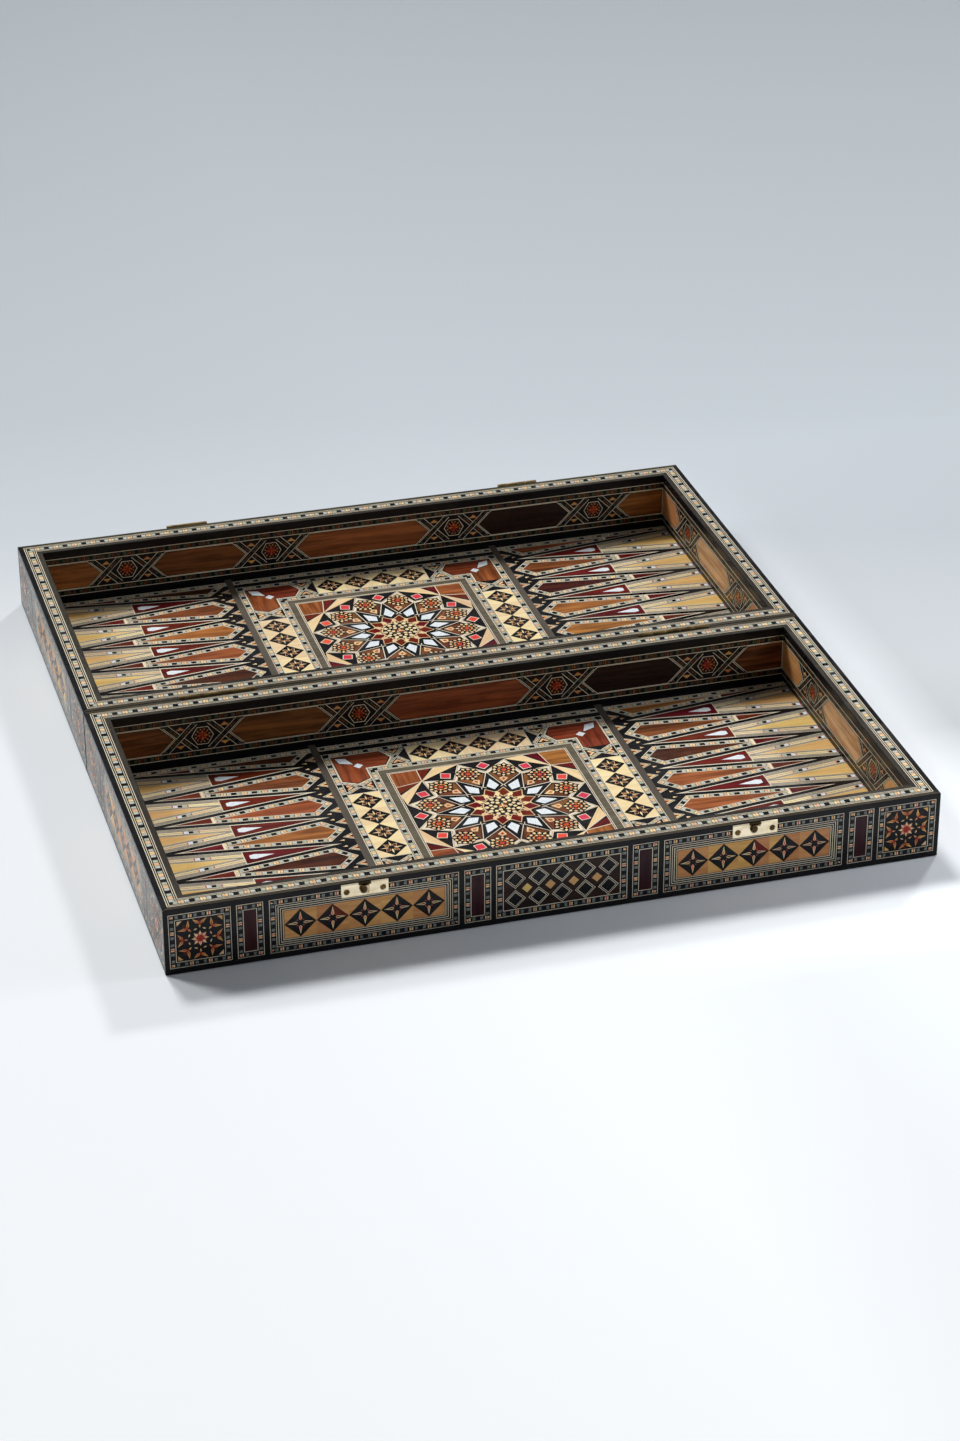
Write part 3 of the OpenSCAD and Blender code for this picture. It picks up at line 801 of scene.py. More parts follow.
def lay_square_star(sheet, centre, half):
    """A black diamond in a pale cell, with a star of dark kites in thin pale edges round a black square."""
    rows = (("maple", 45, 0.14, 0.34, 0.16, 0.62), (("umber", "padauk"), 45, 0.17, 0.34, 0.13, 0.57),
            ("maple", 0, 0.16, 0.32, 0.075, 0.72))
    sheet.lay("ebony", regular(4, half, 0, centre))
    lay_kites(sheet, centre, 4, 0, *[(wood, further, *[half * share for share in shares])
                                     for wood, further, *shares in rows])
    sheet.lay("ebony", regular(4, half * 0.22, 45, centre))


def lay_corner_block(sheet, turn):
    """The mahogany corner of the strip, with a pearl kite and a pearl square."""
    def lay(wood, points, grain=0):
        sheet.lay(wood, turned(points, turn), grain + turn)

    for wood, back in (("bone", 0), ("ebony", 0.6), ("mahogany", 1.1)):
        low, high, end, tip = STRIP_NEAR + back, STRIP_FAR - back, 58.6 + back, 52.8 + back * 2
        middle = (low + high) / 2
        lay(wood, [(high, low), (high, high), (end, high), (tip, middle), (end, low)])
        lay(wood, [(low, low), (low, end), (middle, tip), (high, end), (high, low)], 90)
    lay("mahogany", [(low, low), (high, high), (end, high), (tip, middle), (end, low)])
    lay("mahogany", [(low, low), (low, end), (middle, tip), (high, end), (high, high)], 90)
    lay("ebony", [(91, 91), (82.9, 89.4), (79.4, 79.4), (89.4, 82.9)])
    lay("pearl", [(90.4, 90.4), (83.5, 88.8), (80.1, 80.1), (88.8, 83.5)])
    lay("pearl", regular(4, 3.4, 0, (77.3, 77.3)))


def strip_side():
    """The top side of the centre floor: a strip of four stars."""
    side = Inlay("ebony", [(0, 0), (CENTRE_HALF, CENTRE_HALF), (-CENTRE_HALF, CENTRE_HALF)])
    cell = STRIP_FAR - STRIP_NEAR
    for i in range(4):
        x = (i - 1.5) * cell
        side.lay("holly", rectangle(x - cell / 2, STRIP_NEAR, x + cell / 2, STRIP_FAR), 90)
        lay_square_star(side, (x, (STRIP_NEAR + STRIP_FAR) / 2), cell / 2)
    for x in (-41.4, 41.4):
        lay_line(side, (x, STRIP_NEAR), (x, STRIP_FAR), "bone", 0.7)
    return side


def lay_small_crossing(sheet, centre, turn):
    """Two thin ribbons that cross, with pale and orange triangles in two of the gaps."""
    motif = Inlay("ebony", rectangle(-7.9, -10.25, 7.9, 10.25))
    for end in (-1, 1):
        for wood, half, near in (("maple", 3.6, 4.2), ("orange", 1.9, 6.2), ("ebony", 0.9, 7.4)):
            motif.lay(wood, [(-half, end * 8.6), (half, end * 8.6), (0, end * near)])
    for lean in (1, -1):
        lay_ribbon(motif, (lean * 7.4, -10.25), (-lean * 7.4, 10.25), THIN_RIBBON)
    sheet.place(motif, turn, centre)


def medallion(turn):
    """The star square: a rosette, twelve rays with pearl, twelve flower blocks and fanned corners."""
    half = MEDALLION_HALF
    sheet = Inlay("ebony", rectangle(-half, -half, half, half))
    before, tip, after = [polar(BLOCK_FAR, angle + turn) for angle in (15, 45, 75)]
    for quarter in (0, 90, 180, 270):
        for wood, outline in (("padauk", [(33, half), (FAN_EDGE, half), tip]),
                              ("padauk", [(half, 33), (half, FAN_EDGE), tip]),
                              ("maple", [(FAN_FOOT, half), after, tip]),
                              ("maple", [(half, FAN_FOOT), before, tip])):
            sheet.lay(wood, turned(outline, quarter))
        sheet.lay("umber", turned([(half, half), (FAN_EDGE, half), tip, (half, FAN_EDGE)], quarter), quarter)
        for edge in ((FAN_EDGE, half), (half, FAN_EDGE), (FAN_FOOT, half), (half, FAN_FOOT)):
            lay_line(sheet, *turned([tip, edge], quarter), "bone", 0.6)
    lay_kites(sheet, (0, 0), 12, turn, ("bone", 0, 49.4, 54.2, 4.7, 59.4), ("red", 0, 50.3, 54.2, 4, 58.5))
    block = flower_block()
    rays = [RAY_STEP * i + turn for i in range(12)]
    for i in range(12):
        sheet.place(block, RAY_STEP * i + RAY_STEP / 2 + turn)
    for ray in rays:
        outline = [polar(20, ray), polar(27.5, ray - 15), polar(RAY_TIP, ray), polar(27.5, ray + 15)]
        sheet.lay("bone", outline)
        sheet.lay("ebony", inset(anticlockwise(outline), 0.6))
    sheet.place(rosette(), turn)
    lay_kites(sheet, (0, 0), 12, turn, ("ebony", 0, 18.8, 24, 5.4, 30), ("pearl", 0, 21.9, 27, 4.1, 36.4))
    return sheet


def flower_block():
    """A block between two rays: a mosaic hexagon in walnut, and a pale frame on the two outer sides."""
    side, below = polar(RAY_TIP, RAY_STEP / 2), polar(RAY_TIP, -RAY_STEP / 2)
    outline = [(BLOCK_FAR, 0), side, (26, 0), below]
    motif = Inlay("bone", outline)
    for wood, back in (("umber", 0.6), ("bone", 0.9), ("ebony", 2.6)):
        motif.lay(wood, inset(anticlockwise(outline), [back, 0, 0, back]), 0)
    motif.lay("ebony", [(31, 0), (40, 6), (40, -6)])
    for mirror in (-1, 1):
        motif.lay("walnut", [(40, mirror * 1.6), (44, mirror * 10.2), (30.5, mirror * 1.6)])
    motif.lay("maple", [(31, 0), (36.4, 3), (38.8, 0), (36.4, -3)])
    motif.lay("orange", [(33.5, 0), (36, 1.3), (37.4, 0), (36, -1.3)])
    centre = (47.4, 0)
    motif.lay("ebony", regular(6, 9, 0, centre))
    lay_kites(motif, centre, 6, 0, ("maple", 0, 5.2, 6.9, 1.15, 8.5), ("maple", 30, 5.1, 6.2, 1.5, 7.5),
              ("maple", 0, 2.6, 3.7, 0.8, 4.7), ("orange", 30, 2.4, 3.6, 1.15, 4.8),
              (("orange", "red"), 30, 0.1, 1.2, 0.7, 2.2))
    motif.lay("orange", regular(6, 0.7, 30, centre))
    return motif


def rosette():
    """The middle of the star: twelve dark red diamonds round rings of small pale kites and a flower."""
    motif = Inlay("ebony", regular(12, 24.4, 15))
    for i in range(12):
        motif.lay("maple", kite((0, 0), RAY_STEP * i, 12, 16.6, 2.2, 20.6), RAY_STEP * i)
        lay_kites(motif, (0, 0), 1, RAY_STEP * i, ("maple", 15, 11.8, 17.4, 4.8, 24.6),
                  ("garnet", 15, 12.8, 17.4, 4.1, 23.7))
    motif.lay("maple", regular(24, 13, 7.5))
    motif.lay("ebony", regular(24, 12.4, 7.5))
    for count, shift, away, r, wood in ((12, 0, 10.7, 1.6, "holly"), (12, 15, 7.9, 1.35, "holly"),
                                        (6, 0, 5.1, 1.5, "holly"), (6, 30, 4.6, 0.95, "green_wood")):
        for i in range(count):
            angle = 360 * i / count + shift
            motif.lay(wood, regular(6, r, angle, polar(away, angle)))
    lay_kites(motif, (0, 0), 6, 30, (("orange", "maple"), 0, 0.3, 2, 0.9, 3.7))
    motif.lay("holly", regular(6, 0.9))
    return motif


def centre_floor(star_turn):
    """The floor between the dividers."""
    sheet = Inlay("ebony", rectangle(-CENTRE_HALF, -FLOOR_HALF, CENTRE_HALF, FLOOR_HALF))
    side = strip_side()
    for turn in (0, 90, 180, 270):
        sheet.place(side, turn)
    for turn in (0, 90, 180, 270):
        for x in (50.5, -50.5):
            lay_small_crossing(sheet, turned([(x, 83.05)], turn)[0], turn)
        lay_corner_block(sheet, turn)
    squares = [rectangle(-half, -half, half, half) for half in (CENTRE_HALF, STRIP_NEAR, 62.1)]
    lay_border(sheet, squares[0], STRIP_BAND)
    sheet.lay("pale_oak", lay_border(sheet, squares[1], SQUARE_BAND), 0)
    lay_border(sheet, squares[2], (("bone", 0.55), ("ebony", 0.5), ("bone", 0.55)))
    sheet.place(medallion(star_turn))
    lay_margins(sheet, -CENTRE_HALF, CENTRE_HALF)
    return sheet


# -------- finishes

def colour(red, green, blue):
    """A colour as the eye sees it, 0 to 255, turned into the light values that shaders use."""
    def light(c):
        c /= 255
        return c / 12.92 if c <= 0.04045 else ((c + 0.055) / 1.055) ** 2.4
    return (light(red), light(green), light(blue), 1)


class Wiring:
    """Short words for placing and joining nodes in one node tree."""

    def __init__(self, tree):
        self.tree = tree

    def feed(self, node, inputs):
        """Sets a node's inputs, or joins them where the value is another node's socket."""
        for name, value in inputs.items():
            if isinstance(value, bpy.types.NodeSocket):
                self.tree.links.new(value, node.inputs[name])
            else:
                node.inputs[name].default_value = value

    def node(self, kind, inputs, **settings):
        node = self.tree.nodes.new(kind)
        for name, value in settings.items():
            setattr(node, name, value)
        self.feed(node, inputs)
        return node

    def math(self, operation, a, b=0, clamp=False):
        return self.node("ShaderNodeMath", {0: a, 1: b}, operation=operation, use_clamp=clamp).outputs[0]

    def mix(self, factor, a, b, blend="MIX"):
        inputs = {0: factor, 6: a, 7: b}
        return self.node("ShaderNodeMix", inputs, data_type="RGBA", blend_type=blend).outputs[2]

    def scaled(self, vector, x, y, z):
        return self.node("ShaderNodeMapping", {"Scale": (x, y, z), "Vector": vector}).outputs[0]

    def noise(self, vector, scale, detail=3, distortion=0):
        inputs = {"Scale": scale, "Detail": detail, "Distortion": distortion, "Vector": vector}
        return self.node("ShaderNodeTexNoise", inputs).outputs[0]

    def spread(self, value, low, high, to_low=0, to_high=1):
        inputs = {"Value": value, "From Min": low, "From Max": high, "To Min": to_low, "To Max": to_high}
        return self.node("ShaderNodeMapRange", inputs).outputs[0]

    def ramp(self, value, stops):
        node = self.node("ShaderNodeValToRGB", {0: value})
        elements = node.color_ramp.elements
        for i, (position, shade) in enumerate(stops):
            stop = elements[i] if i < 2 else elements.new(position)
            stop.position = position
            stop.color = colour(*shade)
        return node.outputs[0]

    def place(self):
        """Places on the object, in metres."""
        return self.node("ShaderNodeTexCoord", {}).outputs["Object"]

    def grain(self):
        """Places on the sheet in millimetres, with X along the fibres."""
        return self.node("ShaderNodeUVMap", {}, uv_map="grain").outputs[0]

    def axes(self, vector):
        return self.node("ShaderNodeSeparateXYZ", {0: vector}).outputs

    def bump(self, height, strength, distance):
        inputs = {"Strength": strength, "Distance": distance, "Height": height}
        return self.node("ShaderNodeBump", inputs).outputs[0]


def new_group(name, inputs, outputs):
    """A node group with named inputs, given by their first values, and named outputs."""
    group = bpy.data.node_groups.new(name, "ShaderNodeTree")
    for socket, value in inputs.items():
        kind = "NodeSocketColor" if isinstance(value, tuple) else "NodeSocketFloat"
        group.interface.new_socket(socket, in_out="INPUT", socket_type=kind).default_value = value
    for socket in outputs:
        kind = "NodeSocketColor" if socket == "Color" else "NodeSocketFloat"
        group.interface.new_socket(socket, in_out="OUTPUT", socket_type=kind)
    return Wiring(group), group.nodes.new("NodeGroupInput").outputs, group.nodes.new("NodeGroupOutput")


def make_veneer_group():
    """The figure of a sawn veneer: slow bands, fine fibres along the grain, pores and each tile's tint."""
    inputs = {"Light": (0.5, 0.5, 0.5, 1), "Dark": (0.1, 0.1, 0.1, 1), "Bands": 0.5, "Pores": 0.5,
              "Tint spread": 0.2}
    w, given, result = new_group("veneer figure", inputs, ("Color", "Height", "Roughness"))
    grain = w.grain()
    tint = w.node("ShaderNodeAttribute", {}, attribute_type="GEOMETRY", attribute_name="tint").outputs["Fac"]
    bands = w.noise(w.scaled(grain, 0.018, 0.22, 1), 1, 3, 0.9)
    fibres = w.noise(w.scaled(grain, 0.09, 2.2, 1), 1, 4, 0.3)
    pores = w.noise(w.scaled(grain, 0.35, 5.5, 1), 1, 2)
    banded = w.math("MULTIPLY", w.spread(bands, 0.35, 0.65), given["Bands"])
    fibre = w.spread(fibres, 0.3, 0.75, 0, 0.45)
    share = w.math("ADD", banded, w.math("MULTIPLY", fibre, given["Bands"]), True)
    base = w.mix(share, given["Light"], given["Dark"])
    pore = w.math("MULTIPLY", w.spread(pores, 0.6, 0.72), given["Pores"])
    centred = w.math("SUBTRACT", tint, 0.5)
    shade = w.node("ShaderNodeHueSaturation", {
        "Hue": w.math("ADD", w.math("MULTIPLY", centred, 0.03), 0.5),
        "Value": w.math("ADD", w.math("MULTIPLY", centred, given["Tint spread"]), 1),
        "Color": w.mix(pore, base, given["Dark"])})
    w.feed(result, {"Color": shade.outputs[0], "Height": w.math("SUBTRACT", 1, pore),
                    "Roughness": w.spread(fibres, 0.2, 0.8, 0.17, 0.28)})
    return w.tree


def make_handling_group():
    """Faint smears and dust in the lacquer, in the object's own coordinates."""
    w, given, result = new_group("handling", {"Amount": 0.1}, ("Roughness", "Height"))
    place = w.place()
    smears = w.spread(w.noise(place, 22, 4, 1.2), 0.4, 0.7)
    w.feed(result, {"Roughness": w.math("MULTIPLY", smears, given["Amount"]),
                    "Height": w.noise(place, 240, 2)})
    return w.tree


VENEER = make_veneer_group()
HANDLING = make_handling_group()


def new_material(name):
    material = bpy.data.materials.new(name)
    material.use_nodes = True
    return material, Wiring(material.node_tree), material.node_tree.nodes["Principled BSDF"]


def add_lacquer(w, shader, shade, roughness, height, bump):
    """Joins colour, roughness and height under a clear lacquer with a slight ripple."""
    handling = w.node("ShaderNodeGroup", {"Amount": 0.12}, node_tree=HANDLING)
    ripple = w.math("MULTIPLY", handling.outputs["Height"], 0.6)
    w.feed(shader, {
        "Base Color": shade, "Roughness": w.math("ADD", roughness, handling.outputs["Roughness"]),
        "Normal": w.bump(w.math("ADD", height, ripple), bump, 0.00012),
        "Specular IOR Level": 0.13, "Coat Weight": 0.05, "Coat Roughness": 0.06})


def wood_material(name, light, dark, bands, pores, tint):
    material, w, shader = new_material(name)
    inputs = {"Light": colour(*light), "Dark": colour(*dark), "Bands": bands, "Pores": pores,
              "Tint spread": tint}
    figure = w.node("ShaderNodeGroup", inputs, node_tree=VENEER)
    add_lacquer(w, shader, *[figure.outputs[name] for name in ("Color", "Roughness", "Height")], 0.25)
    return material


def shell_material(name, *colours):
    """Mother of pearl: soft patches of several pale colours, with fine growth lines."""
    material, w, shader = new_material(name)
    grain = w.grain()
    patches = w.noise(w.scaled(grain, 0.25, 0.45, 1), 1, 2, 1.5)
    lines = w.noise(w.scaled(grain, 0.3, 3.2, 1), 1, 2, 2.0)
    patched = w.ramp(patches, zip((0.3, 0.5, 0.62, 0.75), colours))
    streaked = w.mix(w.spread(lines, 0.45, 0.65, 0, 0.3), patched, colour(250, 252, 255))
    add_lacquer(w, shader, streaked, w.spread(lines, 0.3, 0.7, 0.16, 0.26), lines, 0.2)
    return material


# Each wood's name, light and dark colours, strength of bands and of pores, and spread of its tiles' tints.
WOODS = {word: wood_material(*finish) for word, *finish in (
    ("ebony", "ebonised wood", (26, 25, 29), (10, 10, 12), 0.7, 0.3, 0.5),
    ("bone", "bone line", (238, 228, 206), (200, 184, 156), 0.45, 0.25, 0.2),
    ("maple", "cream maple", (242, 214, 168), (212, 172, 122), 0.5, 0.3, 0.25),
    ("holly", "pale holly", (246, 226, 180), (226, 194, 142), 0.5, 0.3, 0.14),
    ("lemonwood", "lemonwood", (226, 172, 108), (192, 130, 72), 0.6, 0.35, 0.3),
    ("tan_wood", "tan wood", (240, 198, 150), (190, 140, 96), 0.9, 0.4, 0.2),
    ("garnet", "garnet wood", (116, 28, 12), (80, 15, 6), 0.5, 0.4, 0.2),
    ("satinwood", "satinwood", (236, 196, 128), (206, 158, 92), 0.5, 0.3, 0.16),
    ("blackwood", "blackwood", (52, 31, 27), (24, 14, 14), 0.8, 0.6, 0.3),
    ("purpleheart", "purpleheart", (66, 24, 30), (34, 12, 18), 0.7, 0.5, 0.3),
    ("umber", "orange walnut", (184, 112, 60), (112, 62, 30), 0.8, 0.6, 0.3),
    ("walnut", "walnut", (148, 86, 48), (78, 42, 23), 0.85, 0.7, 0.3),
    ("mahogany", "mahogany", (162, 80, 46), (98, 42, 24), 0.85, 0.6, 0.3),
    ("rosewood", "rosewood", (90, 42, 24), (42, 17, 10), 0.8, 0.6, 0.3),
    ("padauk", "padauk", (116, 27, 18), (66, 13, 10), 0.7, 0.5, 0.25),
    ("orange", "orange dyed wood", (206, 104, 40), (150, 60, 20), 0.5, 0.3, 0.4),
    ("red", "red dyed wood", (232, 68, 72), (202, 46, 54), 0.45, 0.25, 0.25),
    ("brick", "brick red wood", (184, 56, 40), (136, 32, 24), 0.5, 0.25, 0.4),
    ("rose", "rose dyed wood", (214, 92, 88), (160, 50, 56), 0.45, 0.25, 0.35),
    ("green_wood", "green dyed wood", (74, 84, 62), (36, 44, 34), 0.5, 0.3, 0.5),
    ("bog_oak", "bog oak", (66, 61, 53), (40, 37, 33), 0.6, 0.4, 0.2),
    ("smoked_oak", "smoked oak", (76, 70, 55), (49, 44, 35), 0.6, 0.4, 0.2),
    ("pale_oak", "grey oak", (112, 105, 88), (82, 76, 63), 0.6, 0.4, 0.2))}
for word, *finish in (
        ("pearl", "pearl", (214, 226, 236), (238, 240, 240), (200, 218, 232), (232, 222, 228)),
        ("shell", "green shell", (118, 140, 116), (190, 192, 166), (140, 152, 146), (196, 160, 140)),
        ("dusk_shell", "dark green shell", (46, 60, 58), (98, 108, 102), (64, 74, 80), (120, 92, 88)),
        ("grey_shell", "grey shell", (132, 142, 142), (206, 204, 190), (156, 160, 164), (206, 178, 164))):
    WOODS[word] = shell_material(*finish)


# -------- the sheets of both trays

MID = 129.2                             # from the seam's middle line to the middle of a tray
OUTER_Y, SEAM_Y = 258.2, 0.2
INNER_NEAR, INNER_FAR = 15.7, 242.7
BOX_X = 250
FLOOR_TOP = 5.5
UP = (0, 0, 1)
STAR_TURNS = {-1: -2, 1: 2.3}           # how far each tray's star is turned, in degrees


def dress_tray(tray, side):
    """side is -1 for the front tray, whose outer wall is towards the camera, and 1 for the back one."""
    middle = side * MID

    def lay_sheet(name, sheet, origin, along, up, nodes, cuts, rounded=False):
        solid_lengths(f"{tray}_{name}", sheet, Plane(origin, along, up), f"{tray}_tray",
                      [f"{tray}_{node}" for node in nodes], cuts, rounded)

    near, far = sorted((side * SEAM_Y, side * OUTER_Y))
    corners = rectangle(-BOX_X, near, BOX_X, far)
    words = ("outer", "right", "hinge", "left") if side < 0 else ("hinge", "right", "outer", "left")
    for i, word in enumerate(words):
        # The long rims' outer strip is smoked oak, paler than the ebony of the end rims: painted sheen, for
        # the light that the long edges catch.
        wood, cuts = ("ebony", (1, 2)) if i % 2 else ("smoked_oak", (4, 1))
        lay_sheet(f"rim_{word}", rim_strip(corners[i], corners[(i + 1) % 4], wood), (0, 0, RIM_TOP),
                  (1, 0, 0), (0, 1, 0), ["rim"], cuts, True)

    for word, y, along, lengths in (("outer", OUTER_Y, -side, 4), ("hinge", SEAM_Y, side, 2)):
        lay_sheet(f"{word}_face", wall_face(*LONG_FACE), (0, side * y, 0), (along, 0, 0), UP,
                  [f"{word}_face"], (lengths, 1))
    for word, way in (("left", -1), ("right", 1)):
        lay_sheet(f"{word}_face", wall_face(*SHORT_FACE), (way * BOX_X, middle, 0), (0, way, 0), UP,
                  [f"{word}_face"], (2, 1))

    for word, y, along, drawing in (("outer", INNER_FAR, side, OUTER_WALL),
                                    ("hinge", INNER_NEAR, -side, HINGE_WALL)):
        lay_sheet(f"{word}_lining", wall_lining(*drawing), (0, side * y, 0), (along, 0, 0), UP,
                  ["long_linings"], (4, 1))
    for word, way in (("left", 1), ("right", -1)):
        lay_sheet(f"{word}_lining", wall_lining(*END_WALL), (-way * INNER_X, middle, 0), (0, way, 0), UP,
                  ["end_linings"], (2, 1))

    for word, way in (("left", 1), ("right", -1)):
        lay_sheet(f"{word}_points", point_field(), (-way * INNER_X, middle, FLOOR_TOP), (way, 0, 0),
                  (0, way, 0), [f"{word}_floor", "points"], (1, 2))
    lay_sheet("centre_star", centre_floor(STAR_TURNS[side]), (0, middle, FLOOR_TOP), (1, 0, 0), (0, 1, 0),
              ["centre_floor", "star"], (2, 2))


dress_tray("front", -1)
dress_tray("back", 1)


# -------- wood that the CAD nodes keep

def board_material(name, light, dark, bands, pores, scale=(9, 150, 150)):
    """Solid wood in the object's own coordinates. The grain runs along the axis with the smallest scale."""
    material, w, shader = new_material(name)
    place = w.place()
    rings = w.noise(w.scaled(place, *[size * 0.25 for size in scale]), 1, 3, 0.8)
    fibres = w.noise(w.scaled(place, *[size * 6 for size in scale]), 1, 3)
    share = w.math("ADD", w.spread(rings, 0.35, 0.65, 0, bands), w.spread(fibres, 0.4, 0.7, 0, pores), True)
    shade = w.mix(share, colour(*light), colour(*dark))
    add_lacquer(w, shader, shade, w.spread(fibres, 0.3, 0.7, 0.24, 0.36), fibres, 0.3)
    return material


GRAIN_ALONG_Y = (150, 9, 150)
BOARDS = (
    (("outer_board", "hinge_board", "chess_border"),
     board_material("ebonised board", (30, 28, 30), (12, 11, 13), 0.6, 0.5)),
    (("left_board", "right_board"),
     board_material("ebonised end board", (30, 28, 30), (12, 11, 13), 0.6, 0.5, GRAIN_ALONG_Y)),
    (("divider_strips",),
     board_material("bog oak dividers", (96, 88, 78), (66, 60, 53), 0.6, 0.4, GRAIN_ALONG_Y)),
    (("base_board",), board_material("plywood base", (168, 128, 84), (120, 82, 48), 0.6, 0.4)),
    (("light_squares",), board_material("light chess squares", (224, 180, 122), (190, 138, 80), 0.6, 0.4)),
    (("dark_squares",), board_material("dark chess squares", (92, 46, 26), (44, 20, 12), 0.8, 0.6)))


def finish(node, material):
    node.data.materials.clear()
    node.data.materials.append(material)


for words, material in BOARDS:
    for word in words:
        for tray in ("front", "back"):
            finish(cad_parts[f"{tray}_{word}"], material)


# -------- brass

CATCH_X = 125.5
# Where the catches' painted shade lies: a brown band over the keeper and a patch in the keeper's mouth.
PLATE_TOP, CATCH_SHADE_HALF, CATCH_SHADE_DEEP = 44.8, 4.2, 1.9
HOLLOW_X, HOLLOW_Z, HOLLOW_HALF_X, HOLLOW_HALF_Z = -1.2, 41.4, 2.5, 2.9
# The brown of the catches' painted shade.
CATCH_SHADE_COLOUR = colour(74, 58, 34)


def catch_painted_shade(w, place):
    """Where a catch gets brown painted shade: above its keeper, where the plate's top lies in shade, and in
    the keeper's mouth, a recess in shade.
    """
    axes = w.axes(place)
    x, z = axes["X"], axes["Z"]
    along = w.math("SUBTRACT", x, w.math("MULTIPLY", w.math("SIGN", x), CATCH_X * MM))
    off_x = w.math("DIVIDE", w.math("SUBTRACT", along, HOLLOW_X * MM), HOLLOW_HALF_X * MM)
    off_z = w.math("DIVIDE", w.math("SUBTRACT", z, HOLLOW_Z * MM), HOLLOW_HALF_Z * MM)
    off = w.math("ADD", w.math("MULTIPLY", off_x, off_x), w.math("MULTIPLY", off_z, off_z))
    mouth = w.spread(off, 0.7, 1.15, 1, 0)
    upper = w.spread(z, (PLATE_TOP - CATCH_SHADE_DEEP) * MM, (PLATE_TOP - CATCH_SHADE_DEEP + 0.6) * MM)
    over_keeper = w.spread(w.math("ABSOLUTE", along), (CATCH_SHADE_HALF - 0.5) * MM, CATCH_SHADE_HALF * MM, 1, 0)
    return w.math("MAXIMUM", mouth, w.math("MULTIPLY", upper, over_keeper))


def brass_material(name, bright, tarnished, wear, rough, painted_shade=None):
    """Thin pressed brass: soft cloudy tarnish, fine scratches and a grain from the roller, and, where a mask
    is given, brown painted shade.
    """
    material, w, shader = new_material(name)
    place = w.place()
    clouds = w.noise(place, 160, 4, 0.6)
    spots = w.noise(place, 900, 3)
    rolled = w.noise(w.scaled(place, 300, 2600, 2600), 1, 2)
    cloudy, spotted = w.spread(clouds, 0.45, 0.7, 0, wear), w.spread(spots, 0.6, 0.75, 0, wear * 0.6)
    brass = w.mix(w.math("ADD", cloudy, spotted, True), colour(*bright), colour(*tarnished))
    # Painted shade: brown mixed into the brass where the given mask lies.
    if painted_shade:
        brass = w.mix(painted_shade(w, place), brass, CATCH_SHADE_COLOUR)
    worn = w.spread(clouds, 0.3, 0.7, rough, rough + 0.14)
    w.feed(shader, {"Base Color": brass, "Metallic": 1,
                    "Roughness": w.math("ADD", worn, w.math("MULTIPLY", rolled, 0.06)),
                    "Normal": w.bump(w.math("ADD", rolled, spots), 0.25, 0.00004)})
    return material


CATCH_BRASS = brass_material("pale brass", (255, 239, 206), (220, 190, 134), 0.4, 0.32, catch_painted_shade)
# The hasp and hinge brass are darker copies of the brass: painted shade, as the far hasps and the hinges lie
# in shade.
SHADED_HASP_BRASS = brass_material("aged brass", (134, 112, 74), (66, 54, 36), 0.8, 0.34)
SHADED_HINGE_BRASS = brass_material("dull hinge brass", (112, 94, 62), (52, 42, 28), 0.8, 0.34)
SCREW_BRASS = brass_material("dark screw brass", (112, 88, 50), (50, 38, 26), 0.8, 0.36)


def select_only(*pieces):
    bpy.ops.object.select_all(action="DESELECT")
    for piece in pieces:
        piece.select_set(True)
    bpy.context.view_layer.objects.active = pieces[0]


def new_piece(name, mesh):
    piece = bpy.data.objects.new(name, mesh)
    bpy.context.scene.collection.objects.link(piece)
    return piece


def stand_for(piece, node, body, material):
    """Finishes a piece that takes a node's place."""
    finish(piece, material)
    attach(piece, body)
    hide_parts(node)


def soften(piece, width):
    """Rounds every sharp edge a little, as pressing and tumbling do."""
    select_only(piece)
    bpy.ops.object.modifier_add(type="BEVEL")
    bevel = piece.modifiers[-1]
    bevel.width = width * MM
    bevel.segments = 2
    bevel.limit_method = "ANGLE"
    bevel.angle_limit = math.radians(32)
    bpy.ops.object.modifier_apply(modifier=bevel.name)
    bpy.ops.object.shade_smooth_by_angle(angle=math.radians(28))


def pressed_copy(node, body, material, width):
    """A copy of a brass CAD node, merged, with softened edges."""
    piece = new_piece(f"{node}_pressed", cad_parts[node].data.copy())
    select_only(piece)
    bpy.ops.object.mode_set(mode="EDIT")
    bpy.ops.mesh.select_all(action="SELECT")
    bpy.ops.mesh.remove_doubles(threshold=0.001 * MM)
    bpy.ops.mesh.dissolve_limited(angle_limit=math.radians(0.5))
    bpy.ops.object.mode_set(mode="OBJECT")
    soften(piece, width)
    stand_for(piece, node, body, material)


HEAD_R, HEAD_DEEP, SHANK_LONG, HEAD_RIM, DOME = 2.05, 1.1, 6, 0.5, 0.12
SLOT_LONG, SLOT_WIDE, SLOT_TALL, SLOT_MIDDLE = 5, 0.6, 1.1, 0.1


